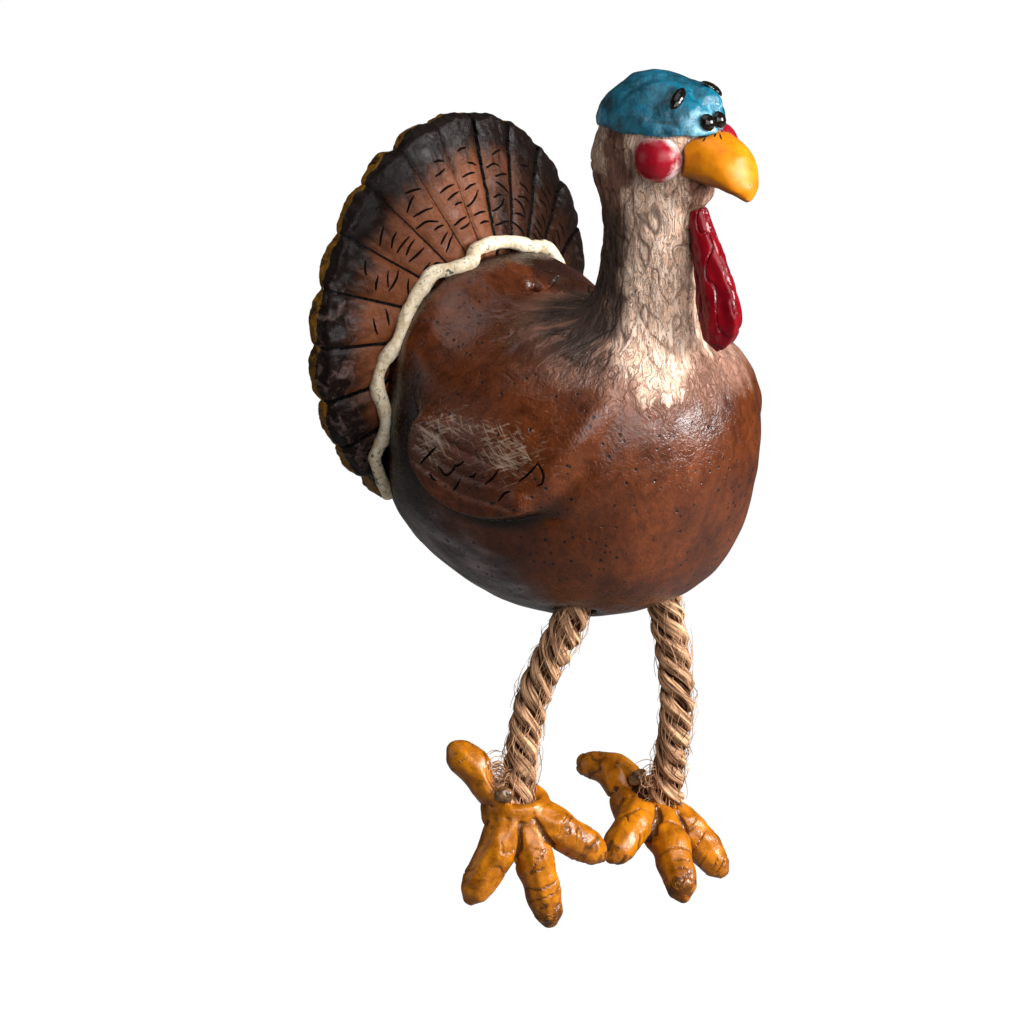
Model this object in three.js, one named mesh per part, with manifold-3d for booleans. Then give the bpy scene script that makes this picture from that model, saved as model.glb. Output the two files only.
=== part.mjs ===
// Hanging turkey ornament: a hand-painted resin bird whose legs are two short ropes with cast feet.
// Millimetres, +Z up. The bird faces -Y and its left side is +X.
// The origin is the mouth of the hanger hole in the hollow of the back, between neck and tail.
import * as THREE from 'three';
import { mergeVertices } from 'three/addons/utils/BufferGeometryUtils.js';
import Module from 'manifold-3d';

// Torso
const TORSO_LENGTH = 45.1;
const TORSO_WIDTH = 38;
const TORSO_HEIGHT = 36.6;
const BREAST_REACH = 28.2; // hanger hole forward to the breast
const HANGER_HOLE_DIAMETER = 1.6;
const HANGER_HOLE_DEPTH = 6;

// Neck and head
const NECK_SETBACK = 11.1; // breast back to the neck's axis
const NECK_WIDTH = 10.4;
const NECK_DEPTH = 12.2;
const NECK_ROOT_WIDTH = 25;
const NECK_ROOT_DEPTH = 22;
const NECK_ROOT_SHIFT = 3.3; // the root lies this far behind the neck's axis
const NECK_ROOT_SINK = 4; // the root starts this far below the back
const NECK_FLARE = 11; // height over which the root draws in to the neck
const NAPE_DEPTH = 1.9; // added behind the neck where it meets the head
const HEAD_RISE = 21.3; // back up to the head's centre
const HEAD_FORWARD = 2.2; // neck's axis forward to the head's centre
const HEAD_WIDTH = 12.2;
const HEAD_LENGTH = 14.8;
const HEAD_HEIGHT = 13.2;
const CHIN_WIDTH = 6.4;
const CHIN_LENGTH = 7.6;
const CHIN_HEIGHT = 6;
const CHIN_FORWARD = 3.6;
const CHIN_DROP = 5.5;

// Head trim
const CAP_THICKNESS = 0.6;
const CAP_EDGE_RISE = 1.2; // cap's edge above the head's centre
const BEAK_WIDTH = 8.4;
const BEAK_HEIGHT = 6.8;
const BEAK_REACH = 6.2; // past the front of the head
const BEAK_HOOK = 5; // tip below the root
const BEAK_TIP_WIDTH = 1.6;
const BEAK_ROOT_DROP = 1.5; // root below the head's centre
const CHEEK_DIAMETER = 5.7;
const EYE_DIAMETER = 1.9;
const BROW_LENGTH = 2.9;
const BROW_WIDTH = 1.3;
const WATTLE_LENGTH = 17.5;
const WATTLE_WIDTH = 4.2;
const WATTLE_DEPTH = 6.2;
const WATTLE_TOP_WIDTH = 2.4;
const WATTLE_SWING = 3.2; // bottom forward of the top

// Wings
const WING_LENGTH = 22.6;
const WING_HEIGHT = 15.8;
const WING_THICKNESS = 10;
const WING_PROUD = 2.4; // how far it stands off the torso's side
const WING_SETBACK = 19.9; // breast back to the wing's middle
const WING_DROP = 14.6; // back down to the wing's middle

// Tail
const FEATHER_COUNT = 19;
const FAN_ARC = THREE.MathUtils.degToRad(304);
const FAN_WIDTH = 47.4;
const FAN_RADIUS = 24.4; // centre to the top feather's tip
const FAN_LOW_RADIUS = 22.4; // at the fan's two lower ends
const FAN_DROP = 5.3; // back down to the fan's centre
const FAN_SWEEP = THREE.MathUtils.degToRad(21.5); // feathers lean back from the body
const FAN_RIM_THICKNESS = 1.9;
const FAN_ROOT_RADIUS = 5;
const FEATHER_CROWN = 0.55;
const FEATHER_SCALLOP = 0.9;
const FAN_FOLD = 0.9; // shallow crease down the middle feather's root
const BAND_WIDTH = 2;
const BAND_PROUD = 1.1;
const BAND_STOP = THREE.MathUtils.degToRad(28); // fan left bare below the band's two ends
const BAND_OFFSET = 0.9; // body's edge out to the band's centre line
const BAND_WAVE = 0.5;
const BAND_WAVES = 9;

// Legs
const ROPE_DIAMETER = 3.8;
const HIP_SPREAD = 16.4;
const HIP_SETBACK = 15.2; // breast back to the hips
const HIP_SOCKET_DEPTH = 4;
const ANKLE_SOCKET_DEPTH = 2.6;
// Each rope's sag, as offsets from its hip: halfway down and at the ankle.
const RIGHT_ROPE = [[-1.2, 5.2, -11], [-2.8, 5.8, -19.9]];
const LEFT_ROPE = [[1, -1.3, -12.4], [2.8, 1.6, -23.3]];

// Feet. Both come from one mould: three front toes and a hind toe that turns to one side.
const TOE_DIAMETER = 5.5;
const TOE_TIP_DIAMETER = 3.5;
const FRONT_TOE_LENGTH = 14.2;
const SIDE_TOE_LENGTH = 12.4;
const HIND_TOE_LENGTH = 10.8;
const TOE_SPREAD = THREE.MathUtils.degToRad(45);
const HIND_TOE_TURN = THREE.MathUtils.degToRad(30);
const TOE_ARCH = 0.8;
const TOE_TIP_DROP = 1.2;
const HIND_TOE_CURL = 0.8;
const FOOT_HUB_WIDTH = 8.2;
const FOOT_HUB_HEIGHT = 6.6;
// Where each hub's centre lies from its ankle.
const RIGHT_FOOT_SEAT = [-0.5, 0, -3.4];
const LEFT_FOOT_SEAT = [-0.8, 3, -3.6];
// Droop of the toes, roll and heading of each foot as it hangs on its rope, in degrees.
const RIGHT_FOOT_TURN = [72, -13, -30];
const LEFT_FOOT_TURN = [36, 14, -12];
const GLUE_DIAMETER = 3.6;
// Which way each blob of glue lies from its ankle, behind the rope and to its right.
const RIGHT_GLUE_SIDE = [-0.95, -0.1, -0.2];
const LEFT_GLUE_SIDE = [-0.64, 0.77, 0.15];

const SEAT_GAP = 0.3; // glue line between a piece and what carries it

const RESIN = { roughness: 0.6, metalness: 0 };
const GLOSS = { roughness: 0.25, metalness: 0 };

const wasm = await Module();
wasm.setup();

// A closed geometry as a solid that can be joined and cut.
function solid(geometry) {
  const bare = geometry.clone();
  bare.deleteAttribute('normal');
  bare.deleteAttribute('uv');
  const welded = mergeVertices(bare, 1e-4);
  const vertProperties = Float32Array.from(welded.attributes.position.array);
  const triVerts = Uint32Array.from(welded.index.array);
  return new wasm.Manifold(new wasm.Mesh({ numProp: 3, vertProperties, triVerts }));
}

function piece(name, shape, colour, finish) {
  const { numProp, vertProperties, triVerts } = shape.getMesh();
  const positions = new Float32Array((vertProperties.length / numProp) * 3);
  for (let i = 0; i < positions.length / 3; i += 1) {
    positions.set(vertProperties.subarray(i * numProp, i * numProp + 3), i * 3);
  }
  const geometry = new THREE.BufferGeometry();
  geometry.setAttribute('position', new THREE.BufferAttribute(positions, 3));
  geometry.setIndex(Array.from(triVerts));
  geometry.computeVertexNormals();
  const mesh = new THREE.Mesh(geometry, new THREE.MeshStandardMaterial({ color: colour, ...finish }));
  mesh.name = name;
  return mesh;
}

// Skin over a row of rings of equal count, closed by a point at each end.
function loft(rings, start, end) {
  const count = rings[0].length;
  const points = [...rings.flat(), start, end];
  const startIndex = points.length - 2;
  const endIndex = points.length - 1;
  const last = (rings.length - 1) * count;
  const faces = [];
  for (let k = 0; k < count; k += 1) {
    const next = (k + 1) % count;
    faces.push(startIndex, next, k, endIndex, last + k, last + next);
    for (let r = 0; r < last; r += count) {
      faces.push(r + k, r + next, r + count + next, r + k, r + count + next, r + count + k);
    }
  }
  let volume = 0;
  for (let f = 0; f < faces.length; f += 3) {
    const [a, b, c] = faces.slice(f, f + 3).map((index) => points[index]);
    volume += a.dot(b.clone().cross(c));
  }
  const geometry = new THREE.BufferGeometry().setFromPoints(points);
  geometry.setIndex(volume > 0 ? faces : faces.reverse());
  return geometry;
}

function middle(ring) {
  return ring.reduce((sum, point) => sum.add(point), new THREE.Vector3()).divideScalar(ring.length);
}

function ellipsoid(width, length, height, centre, facets, grow = 0) {
  const geometry = new THREE.SphereGeometry(1, facets, Math.round(facets * 0.6));
  geometry.scale(width / 2 + grow, length / 2 + grow, height / 2 + grow);
  return geometry.translate(centre.x, centre.y, centre.z);
}

// Tube along a curve whose radius follows a rule of the way along it; both ends run out by the growth.
function tapered(curve, radiusAt, steps, sides, grow = 0) {
  const frames = curve.computeFrenetFrames(steps, false);
  const rings = [];
  for (let i = 0; i <= steps; i += 1) {
    const along = i / steps;
    const run = i === 0 ? -grow : i === steps ? grow : 0;
    const centre = curve.getPointAt(along).addScaledVector(frames.tangents[i], run);
    const radius = radiusAt(along) + grow;
    rings.push(Array.from({ length: sides }, (_, k) => {
      const turn = (k / sides) * 2 * Math.PI;
      return centre.clone()
        .addScaledVector(frames.normals[i], radius * Math.cos(turn))
        .addScaledVector(frames.binormals[i], radius * Math.sin(turn));
    }));
  }
  return loft(rings, middle(rings[0]), middle(rings.at(-1)));
}

// Smooth value at a place along a row of evenly spaced values.
function smooth(values, place) {
  const i = Math.min(Math.floor(place), values.length - 2);
  const t = place - i;
  const [b, c] = [values[i], values[i + 1]];
  const a = values[i - 1] ?? 2 * b - c;
  const d = values[i + 2] ?? 2 * c - b;
  return b + 0.5 * t * (c - a + t * (2 * a - 5 * b + 4 * c - d + t * (3 * (b - c) + d - a)));
}

// Torso. Sections stand across the body at even angles from the breast's tip to the rump's tip.
// Each is a rounded square; the back rises to a collar just ahead of the tail.
const SECTION_POWER = 2.4;
const HALF_WIDTHS = [0, 0.4, 0.7, 0.91, 0.995, 0.995, 0.925, 0.7, 0.36, 0]; // of half the torso's width
const TOPS = [-0.437, -0.22, -0.05, 0, 0.005, 0, 0.1, -0.03, -0.36, -0.6]; // of the torso's height
const WIDEST = [-0.437, -0.437, -0.455, -0.47, -0.47, -0.43, -0.34, -0.45, -0.54, -0.6];
const BOTTOMS = [-0.437, -0.637, -0.86, -0.968, -1, -0.98, -0.915, -0.825, -0.715, -0.6];
const COLLAR_ANGLE = (2 / 3) * Math.PI;
const breastY = -BREAST_REACH;

function torsoSection(angle, grow = 0) {
  const place = (angle / Math.PI) * (TOPS.length - 1);
  return {
    y: breastY + (TORSO_LENGTH * (1 - Math.cos(angle))) / 2 - grow * Math.cos(angle),
    half: (smooth(HALF_WIDTHS, place) * TORSO_WIDTH) / 2 + grow,
    top: smooth(TOPS, place) * TORSO_HEIGHT + grow,
    widest: smooth(WIDEST, place) * TORSO_HEIGHT,
    bottom: smooth(BOTTOMS, place) * TORSO_HEIGHT - grow,
  };
}

function torsoSectionAt(y) {
  const share = THREE.MathUtils.clamp((y - breastY) / TORSO_LENGTH, 0, 1);
  return torsoSection(Math.acos(1 - 2 * share));
}

function torso(grow = 0) {
  const steps = 24;
  const sides = 28;
  const rounded = (value) => Math.sign(value) * Math.abs(value) ** (2 / SECTION_POWER);
  const rings = [];
  for (let i = 1; i < steps; i += 1) {
    const { y, half, top, widest, bottom } = torsoSection((i / steps) * Math.PI, grow);
    rings.push(Array.from({ length: sides }, (_, k) => {
      const turn = (k / sides) * 2 * Math.PI;
      const rise = rounded(Math.sin(turn));
      const z = widest + rise * (rise > 0 ? top - widest : widest - bottom);
      return new THREE.Vector3(half * rounded(Math.cos(turn)), y, z);
    }));
  }
  const tip = ({ y, widest }) => new THREE.Vector3(0, y, widest);
  return solid(loft(rings, tip(torsoSection(0, grow)), tip(torsoSection(Math.PI, grow))));
}

function insideTorso({ x, y, z }) {
  const { half, top, widest, bottom } = torsoSectionAt(y);
  const height = z > widest ? top - widest : widest - bottom;
  return Math.abs(x / half) ** SECTION_POWER + Math.abs((z - widest) / height) ** SECTION_POWER < 1;
}

function bellyPoint(x, y) {
  const { half, widest, bottom } = torsoSectionAt(y);
  const depth = (1 - Math.abs(x / half) ** SECTION_POWER) ** (1 / SECTION_POWER);
  return new THREE.Vector3(x, y, widest - (widest - bottom) * depth);
}

// Neck, drawn up from a wide root on the shoulders, with the head and chin on it.
const neckY = breastY + NECK_SETBACK;
const headCentre = new THREE.Vector3(0, neckY - HEAD_FORWARD, HEAD_RISE);
const chinCentre = headCentre.clone().add(new THREE.Vector3(0, -CHIN_FORWARD, -CHIN_DROP));

function neck(grow = 0) {
  const sides = 24;
  const steps = 12;
  const rings = [];
  for (let i = 0; i <= steps; i += 1) {
    const share = (i / steps) ** 1.5;
    const rise = share * (HEAD_RISE + NECK_ROOT_SINK);
    const spread = Math.max(0, 1 - rise / NECK_FLARE) ** 3;
    const half = (NECK_WIDTH + (NECK_ROOT_WIDTH - NECK_WIDTH) * spread) / 2 + grow;
    const nape = NAPE_DEPTH * THREE.MathUtils.smoothstep(share, 0.55, 0.85);
    const depth = (NECK_DEPTH + nape + (NECK_ROOT_DEPTH - NECK_DEPTH) * spread) / 2 + grow;
    const y = neckY + nape / 2 + NECK_ROOT_SHIFT * spread - HEAD_FORWARD * share;
    rings.push(Array.from({ length: sides }, (_, k) => {
      const turn = (k / sides) * 2 * Math.PI;
      return new THREE.Vector3(half * Math.cos(turn), y + depth * Math.sin(turn), rise - NECK_ROOT_SINK);
    }));
  }
  return solid(loft(rings, middle(rings[0]), middle(rings.at(-1))));
}

function head(grow = 0) {
  return solid(ellipsoid(HEAD_WIDTH, HEAD_LENGTH, HEAD_HEIGHT, headCentre, 24, grow));
}

function bird(grow = 0) {
  const chin = solid(ellipsoid(CHIN_WIDTH, CHIN_LENGTH, CHIN_HEIGHT, chinCentre, 16, grow));
  return torso(grow).add(neck(grow)).add(head(grow)).add(chin);
}

// Point on the head, grown by an offset, seen at an angle from the bill and a height angle.
function headPoint(side, height, grow = 0) {
  const across = THREE.MathUtils.degToRad(side);
  const up = THREE.MathUtils.degToRad(height);
  return new THREE.Vector3(
    (HEAD_WIDTH / 2 + grow) * Math.sin(across) * Math.cos(up),
    -(HEAD_LENGTH / 2 + grow) * Math.cos(across) * Math.cos(up),
    (HEAD_HEIGHT / 2 + grow) * Math.sin(up),
  ).add(headCentre);
}

// Ropes. Each runs from its socket in the belly to its socket in the foot.
function ropeRoute(side, [sag, drop]) {
  const hip = bellyPoint((side * HIP_SPREAD) / 2, breastY + HIP_SETBACK);
  const knee = hip.clone().add(new THREE.Vector3(...sag));
  const ankle = hip.clone().add(new THREE.Vector3(...drop));
  const down = ankle.clone().sub(knee).normalize();
  const root = hip.clone().addScaledVector(hip.clone().sub(knee).normalize(), HIP_SOCKET_DEPTH);
  const end = ankle.clone().addScaledVector(down, ANKLE_SOCKET_DEPTH);
  return { hip, ankle, curve: new THREE.CatmullRomCurve3([root, hip, knee, ankle, end]) };
}

function rope(route, grow = 0) {
  return tapered(route.curve, () => ROPE_DIAMETER / 2, 12, 12, grow);
}

const rightRoute = ropeRoute(-1, RIGHT_ROPE);
const leftRoute = ropeRoute(1, LEFT_ROPE);

// The body casting, with the leg sockets and the hanger hole bored into it.
const hangerHole = new THREE.CylinderGeometry(1, 1, 2 * HANGER_HOLE_DEPTH, 16);
hangerHole.rotateX(Math.PI / 2).scale(HANGER_HOLE_DIAMETER / 2, HANGER_HOLE_DIAMETER / 2, 1);
const bodyCasting = bird()
  .subtract(solid(hangerHole))
  .subtract(solid(rope(rightRoute, SEAT_GAP)))
  .subtract(solid(rope(leftRoute, SEAT_GAP)));
const birdSeat = bird(SEAT_GAP);

// Blue cap: a thin shell over the crown, cut level above the cheeks.
const capGrow = SEAT_GAP + CAP_THICKNESS;
const capTop = new THREE.BoxGeometry(4 * HEAD_WIDTH, 4 * HEAD_LENGTH, 4 * HEAD_HEIGHT);
capTop.translate(headCentre.x, headCentre.y, headCentre.z + CAP_EDGE_RISE + 2 * HEAD_HEIGHT);
const headCap = head(capGrow).intersect(solid(capTop)).subtract(birdSeat);
const capSeat = head(capGrow + SEAT_GAP).intersect(
  solid(capTop.clone().translate(0, 0, -SEAT_GAP)),
);

// Cheeks, brows and eyes are small beads pressed onto the head.
function cheek(side, grow = 0) {
  const centre = headPoint(side * 58, -13);
  return solid(ellipsoid(CHEEK_DIAMETER, CHEEK_DIAMETER, CHEEK_DIAMETER, centre, 16, grow));
}

function eye(side, grow = 0) {
  const centre = headPoint(side * 8.5, 20, capGrow);
  return solid(ellipsoid(EYE_DIAMETER, EYE_DIAMETER, EYE_DIAMETER, centre, 10, grow));
}

function brow(side) {
  const centre = headPoint(side * 33, 45, capGrow);
  const inner = headPoint(side * 22, 53, capGrow);
  const bead = ellipsoid(BROW_WIDTH, BROW_LENGTH, BROW_WIDTH, new THREE.Vector3(), 10);
  const along = inner.sub(centre).normalize();
  bead.applyQuaternion(new THREE.Quaternion().setFromUnitVectors(new THREE.Vector3(0, 1, 0), along));
  return solid(bead.translate(centre.x, centre.y, centre.z));
}

// Beak: a hooked cone that bends down from the front of the head.
function beak(grow = 0) {
  const rootY = headCentre.y - HEAD_LENGTH / 4;
  const rootZ = headCentre.z - BEAK_ROOT_DROP;
  const tipY = headCentre.y - HEAD_LENGTH / 2 - BEAK_REACH + BEAK_TIP_WIDTH / 2;
  const tipZ = rootZ - BEAK_HOOK + BEAK_TIP_WIDTH / 2;
  const ridge = new THREE.QuadraticBezierCurve3(
    new THREE.Vector3(0, rootY, rootZ),
    new THREE.Vector3(0, tipY + 1.4 * BEAK_TIP_WIDTH, rootZ + BEAK_TIP_WIDTH / 2),
    new THREE.Vector3(0, tipY, tipZ),
  );
  const steps = 10;
  const sides = 16;
  const frames = ridge.computeFrenetFrames(steps, false);
  const across = new THREE.Vector3(1, 0, 0);
  const rings = [];
  for (let i = 0; i <= steps; i += 1) {
    const along = i / steps;
    const fullness = Math.sqrt(Math.max(0, 1 - along ** 2.6));
    const half = (BEAK_TIP_WIDTH + (BEAK_WIDTH - BEAK_TIP_WIDTH) * fullness) / 2 + grow;
    const deep = (BEAK_TIP_WIDTH + (BEAK_HEIGHT - BEAK_TIP_WIDTH) * fullness) / 2 + grow;
    const upward = frames.tangents[i].clone().cross(across);
    const centre = ridge.getPointAt(along);
    rings.push(Array.from({ length: sides }, (_, k) => {
      const turn = (k / sides) * 2 * Math.PI;
      return centre.clone()
        .addScaledVector(across, half * Math.cos(turn))
        .addScaledVector(upward, deep * Math.sin(turn));
    }));
  }
  const tip = middle(rings.at(-1)).addScaledVector(frames.tangents[steps], BEAK_TIP_WIDTH / 3 + grow);
  return solid(loft(rings, middle(rings[0]), tip));
}

// Wattle: a drop that hangs from the chin, clear of the neck, with furrows down its length.
function wattle() {
  const top = new THREE.Vector3(0, chinCentre.y - CHIN_LENGTH / 5, chinCentre.z - CHIN_HEIGHT / 4);
  const steps = 14;
  const sides = 20;
  const furrows = 5;
  const rings = [];
  for (let i = 0; i < steps; i += 1) {
    const along = i / steps;
    const taper = Math.sqrt(1 - Math.max(0, (along - 0.72) / 0.28) ** 2);
    const swell = THREE.MathUtils.smoothstep(along, 0, 0.75);
    const half = taper * (WATTLE_TOP_WIDTH + (WATTLE_WIDTH - WATTLE_TOP_WIDTH) * swell) / 2;
    const deep = taper * (WATTLE_TOP_WIDTH + (WATTLE_DEPTH - WATTLE_TOP_WIDTH) * swell) / 2;
    const y = top.y - WATTLE_SWING * Math.sin((along * Math.PI) / 2) - (deep - WATTLE_TOP_WIDTH / 2) / 2;
    rings.push(Array.from({ length: sides }, (_, k) => {
      const turn = (k / sides) * 2 * Math.PI;
      const furrow = 1 - 0.1 * swell * (1 + Math.cos(furrows * turn));
      const z = top.z - WATTLE_LENGTH * along;
      return new THREE.Vector3(half * furrow * Math.cos(turn), y + deep * furrow * Math.sin(turn), z);
    }));
  }
  const foot = middle(rings.at(-1)).setZ(top.z - WATTLE_LENGTH);
  return solid(loft(rings, middle(rings[0]), foot));
}

const cheekSeats = cheek(-1, SEAT_GAP).add(cheek(1, SEAT_GAP));
const eyeSeats = eye(-1, SEAT_GAP).add(eye(1, SEAT_GAP));
const beakPiece = beak().subtract(birdSeat).subtract(capSeat).subtract(cheekSeats).subtract(eyeSeats);
const faceSeat = birdSeat.add(capSeat);

// Wings: oval pads on the flanks, proud along their lower and rear edges.
function wing(side) {
  const y = breastY + WING_SETBACK;
  const x = torsoSectionAt(y).half + WING_PROUD - WING_THICKNESS / 2;
  const centre = new THREE.Vector3(side * x, y, -WING_DROP);
  return solid(ellipsoid(WING_THICKNESS, WING_LENGTH, WING_HEIGHT, centre, 26)).subtract(birdSeat);
}

// Tail fan. Feathers lean back from the collar as a shallow cone; each is crowned and round-tipped,
// with a groove on either side.
const collar = torsoSection(COLLAR_ANGLE);
const fanCentreZ = -FAN_DROP;
const fanLean = Math.tan(FAN_SWEEP);
const fanRimFront = collar.y + (FAN_RADIUS - (collar.top - fanCentreZ)) * fanLean;

function featherShare(angle) {
  const place = (angle / FAN_ARC + 0.5) * FEATHER_COUNT;
  const within = place - Math.floor(place + 1e-6);
  return 4 * within * (1 - within);
}

function fanRadius(angle) {
  const low = THREE.MathUtils.smoothstep(Math.abs(angle), FAN_ARC * 0.3, FAN_ARC / 2);
  return FAN_RADIUS + (FAN_LOW_RADIUS - FAN_RADIUS) * low;
}

function fanFront(angle, radius) {
  const fold = FAN_FOLD * Math.exp(-((angle / 0.3) ** 2)) * Math.max(0, 1 - radius / FAN_RADIUS);
  return fanRimFront - (FAN_RADIUS - radius) * fanLean + fold;
}

function fanPoint(angle, radius, y) {
  const x = (radius * Math.sin(angle) * FAN_WIDTH) / (2 * FAN_RADIUS);
  return new THREE.Vector3(x, y, fanCentreZ + radius * Math.cos(angle));
}

function fan(grow = 0) {
  const columns = FEATHER_COUNT * 4;
  const rows = 5;
  const rings = [];
  for (let i = 0; i <= columns; i += 1) {
    const angle = (i / columns - 0.5) * FAN_ARC;
    const lens = featherShare(angle);
    const rim = fanRadius(angle) - FEATHER_SCALLOP * (1 - Math.sqrt(lens)) + grow;
    const front = [];
    const back = [];
    for (let j = 0; j <= rows; j += 1) {
      const share = j / rows;
      const radius = FAN_ROOT_RADIUS + (rim - FAN_ROOT_RADIUS) * share;
      const crown = FEATHER_CROWN * lens * (0.3 + 0.7 * share);
      front.push(fanPoint(angle, radius, fanFront(angle, radius) - crown - grow));
      const rearY = fanRimFront + FAN_RIM_THICKNESS - (1 - share) * FAN_RIM_THICKNESS;
      back.push(fanPoint(angle, radius, rearY + crown + grow));
    }
    const edge = fanPoint(angle, rim + FAN_RIM_THICKNESS / 5, fanRimFront + FAN_RIM_THICKNESS / 2);
    rings.push([...front, edge, ...back.reverse()]);
  }
  return solid(loft(rings, middle(rings[0]), middle(rings.at(-1))));
}

// Cream band: a wavy bead laid on the feathers along the body's edge.
function band() {
  const columns = BAND_WAVES * 6;
  const sides = 8;
  const reach = (FAN_ARC - BAND_STOP) / 2;
  const tall = BAND_PROUD + FEATHER_CROWN;
  const deep = FAN_RIM_THICKNESS / 3;
  const rings = [];
  for (let i = 0; i <= columns; i += 1) {
    const angle = (2 * (i / columns) - 1) * reach;
    let inside = 0;
    let outside = FAN_RADIUS;
    for (let n = 0; n < 30; n += 1) {
      const radius = (inside + outside) / 2;
      if (insideTorso(fanPoint(angle, radius, fanFront(angle, radius)))) inside = radius;
      else outside = radius;
    }
    const wave = BAND_WAVE * Math.sin(BAND_WAVES * Math.PI * (angle / reach));
    const radius = outside + BAND_OFFSET + wave;
    const centre = fanPoint(angle, radius, fanFront(angle, radius));
    const outward = fanPoint(angle, radius + 1, fanFront(angle, radius + 1)).sub(centre).normalize();
    const forward = new THREE.Vector3(0, -1, 0);
    forward.addScaledVector(outward, -forward.dot(outward)).normalize();
    const end = Math.sqrt(Math.max(0.15, 1 - (Math.abs(angle) / reach) ** 12));
    rings.push(Array.from({ length: sides }, (_, k) => {
      const turn = (k / sides) * 2 * Math.PI;
      return centre.clone()
        .addScaledVector(outward, (end * BAND_WIDTH * Math.cos(turn)) / 2)
        .addScaledVector(forward, end * Math.sin(turn) * (turn < Math.PI ? tall : deep));
    }));
  }
  return solid(loft(rings, middle(rings[0]), middle(rings.at(-1))));
}

const tailFan = fan().subtract(birdSeat);
const tailBand = band().subtract(fan(SEAT_GAP)).subtract(birdSeat);

// Feet. A hub carries the toes; the rope's end is glued into a socket in the hub.
function toe(yaw, length, lift, arch, grow) {
  const ahead = new THREE.Vector3(-Math.sin(yaw), -Math.cos(yaw), 0);
  const at = (share, height) => ahead.clone().multiplyScalar(length * share).setZ(height);
  const knuckle = at(0.8, arch / 3 + lift / 2);
  const line = new THREE.CatmullRomCurve3([at(0, 0), at(0.45, arch), knuckle, at(1, lift)]);
  const radiusAt = (along) => {
    const girth = (TOE_DIAMETER + (TOE_TIP_DIAMETER - TOE_DIAMETER) * along) / 2;
    const round = Math.max(0, (along - 0.82) / 0.18);
    return girth * Math.sqrt(1 - 0.92 * round ** 2);
  };
  return solid(tapered(line, radiusAt, 10, 10, grow));
}

function foot(grow = 0) {
  const hub = ellipsoid(FOOT_HUB_WIDTH, FOOT_HUB_WIDTH, FOOT_HUB_HEIGHT, new THREE.Vector3(), 16, grow);
  return solid(hub)
    .add(toe(TOE_SPREAD, SIDE_TOE_LENGTH, -TOE_TIP_DROP, TOE_ARCH, grow))
    .add(toe(0, FRONT_TOE_LENGTH, -TOE_TIP_DROP, TOE_ARCH, grow))
    .add(toe(-TOE_SPREAD, SIDE_TOE_LENGTH, -TOE_TIP_DROP, TOE_ARCH, grow))
    .add(toe(Math.PI - HIND_TOE_TURN, HIND_TOE_LENGTH, HIND_TOE_CURL, TOE_ARCH, grow));
}

// A foot on its rope, with the bead of glue that squeezed out at the back of the joint.
function hungFoot(name, route, seat, [droop, roll, heading], glueSide) {
  const group = new THREE.Group();
  const turn = [droop, roll, heading].map(THREE.MathUtils.degToRad);
  group.rotation.set(...turn, 'ZYX');
  group.position.copy(route.ankle).add(new THREE.Vector3(...seat));
  group.updateMatrix();
  const toFoot = group.matrix.clone().invert();
  const ropeSeat = solid(rope(route, SEAT_GAP).applyMatrix4(toFoot));
  const beside = new THREE.Vector3(...glueSide).normalize();
  const spot = route.ankle.clone().addScaledVector(beside, (ROPE_DIAMETER + GLUE_DIAMETER) / 2 - SEAT_GAP);
  spot.applyMatrix4(toFoot);
  const glue = solid(ellipsoid(GLUE_DIAMETER, GLUE_DIAMETER, GLUE_DIAMETER, spot, 14));
  group.add(piece(`${name}_foot`, foot().subtract(ropeSeat), 0xc97f14, RESIN));
  group.add(piece(`${name}_foot_glue`, glue.subtract(ropeSeat).subtract(foot(SEAT_GAP)), 0xcfc3a8, GLOSS));
  return group;
}

const ornament = new THREE.Group();
ornament.add(piece('body_casting', bodyCasting, 0x6b3a24, RESIN));
ornament.add(piece('head_cap', headCap, 0x1f6f8b, RESIN));
ornament.add(piece('beak', beakPiece, 0xf29a12, RESIN));
ornament.add(piece('wattle', wattle().subtract(birdSeat).subtract(beak(SEAT_GAP)), 0xa80f1e, GLOSS));
ornament.add(piece('tail_fan', tailFan, 0x4e302a, RESIN));
ornament.add(piece('tail_band', tailBand, 0xe6d3b0, RESIN));
for (const [side, name] of [[-1, 'right'], [1, 'left']]) {
  ornament.add(piece(`cheek_${name}`, cheek(side).subtract(birdSeat).subtract(capSeat), 0xb8142b, GLOSS));
  ornament.add(piece(`eye_${name}`, eye(side).subtract(faceSeat), 0x0a0a0a, GLOSS));
  ornament.add(piece(`brow_${name}`, brow(side).subtract(faceSeat), 0x0a0a0a, GLOSS));
  ornament.add(piece(`wing_${name}`, wing(side), 0x5f3423, RESIN));
}
ornament.add(piece('right_leg_rope', solid(rope(rightRoute)), 0xa87c55, { roughness: 0.95, metalness: 0 }));
ornament.add(piece('left_leg_rope', solid(rope(leftRoute)), 0xa87c55, { roughness: 0.95, metalness: 0 }));
ornament.add(hungFoot('right', rightRoute, RIGHT_FOOT_SEAT, RIGHT_FOOT_TURN, RIGHT_GLUE_SIDE));
ornament.add(hungFoot('left', leftRoute, LEFT_FOOT_SEAT, LEFT_FOOT_TURN, LEFT_GLUE_SIDE));

export default ornament;
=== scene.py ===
import math

import bmesh
import bpy
import numpy as np
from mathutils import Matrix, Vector
from mathutils.bvhtree import BVHTree


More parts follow.
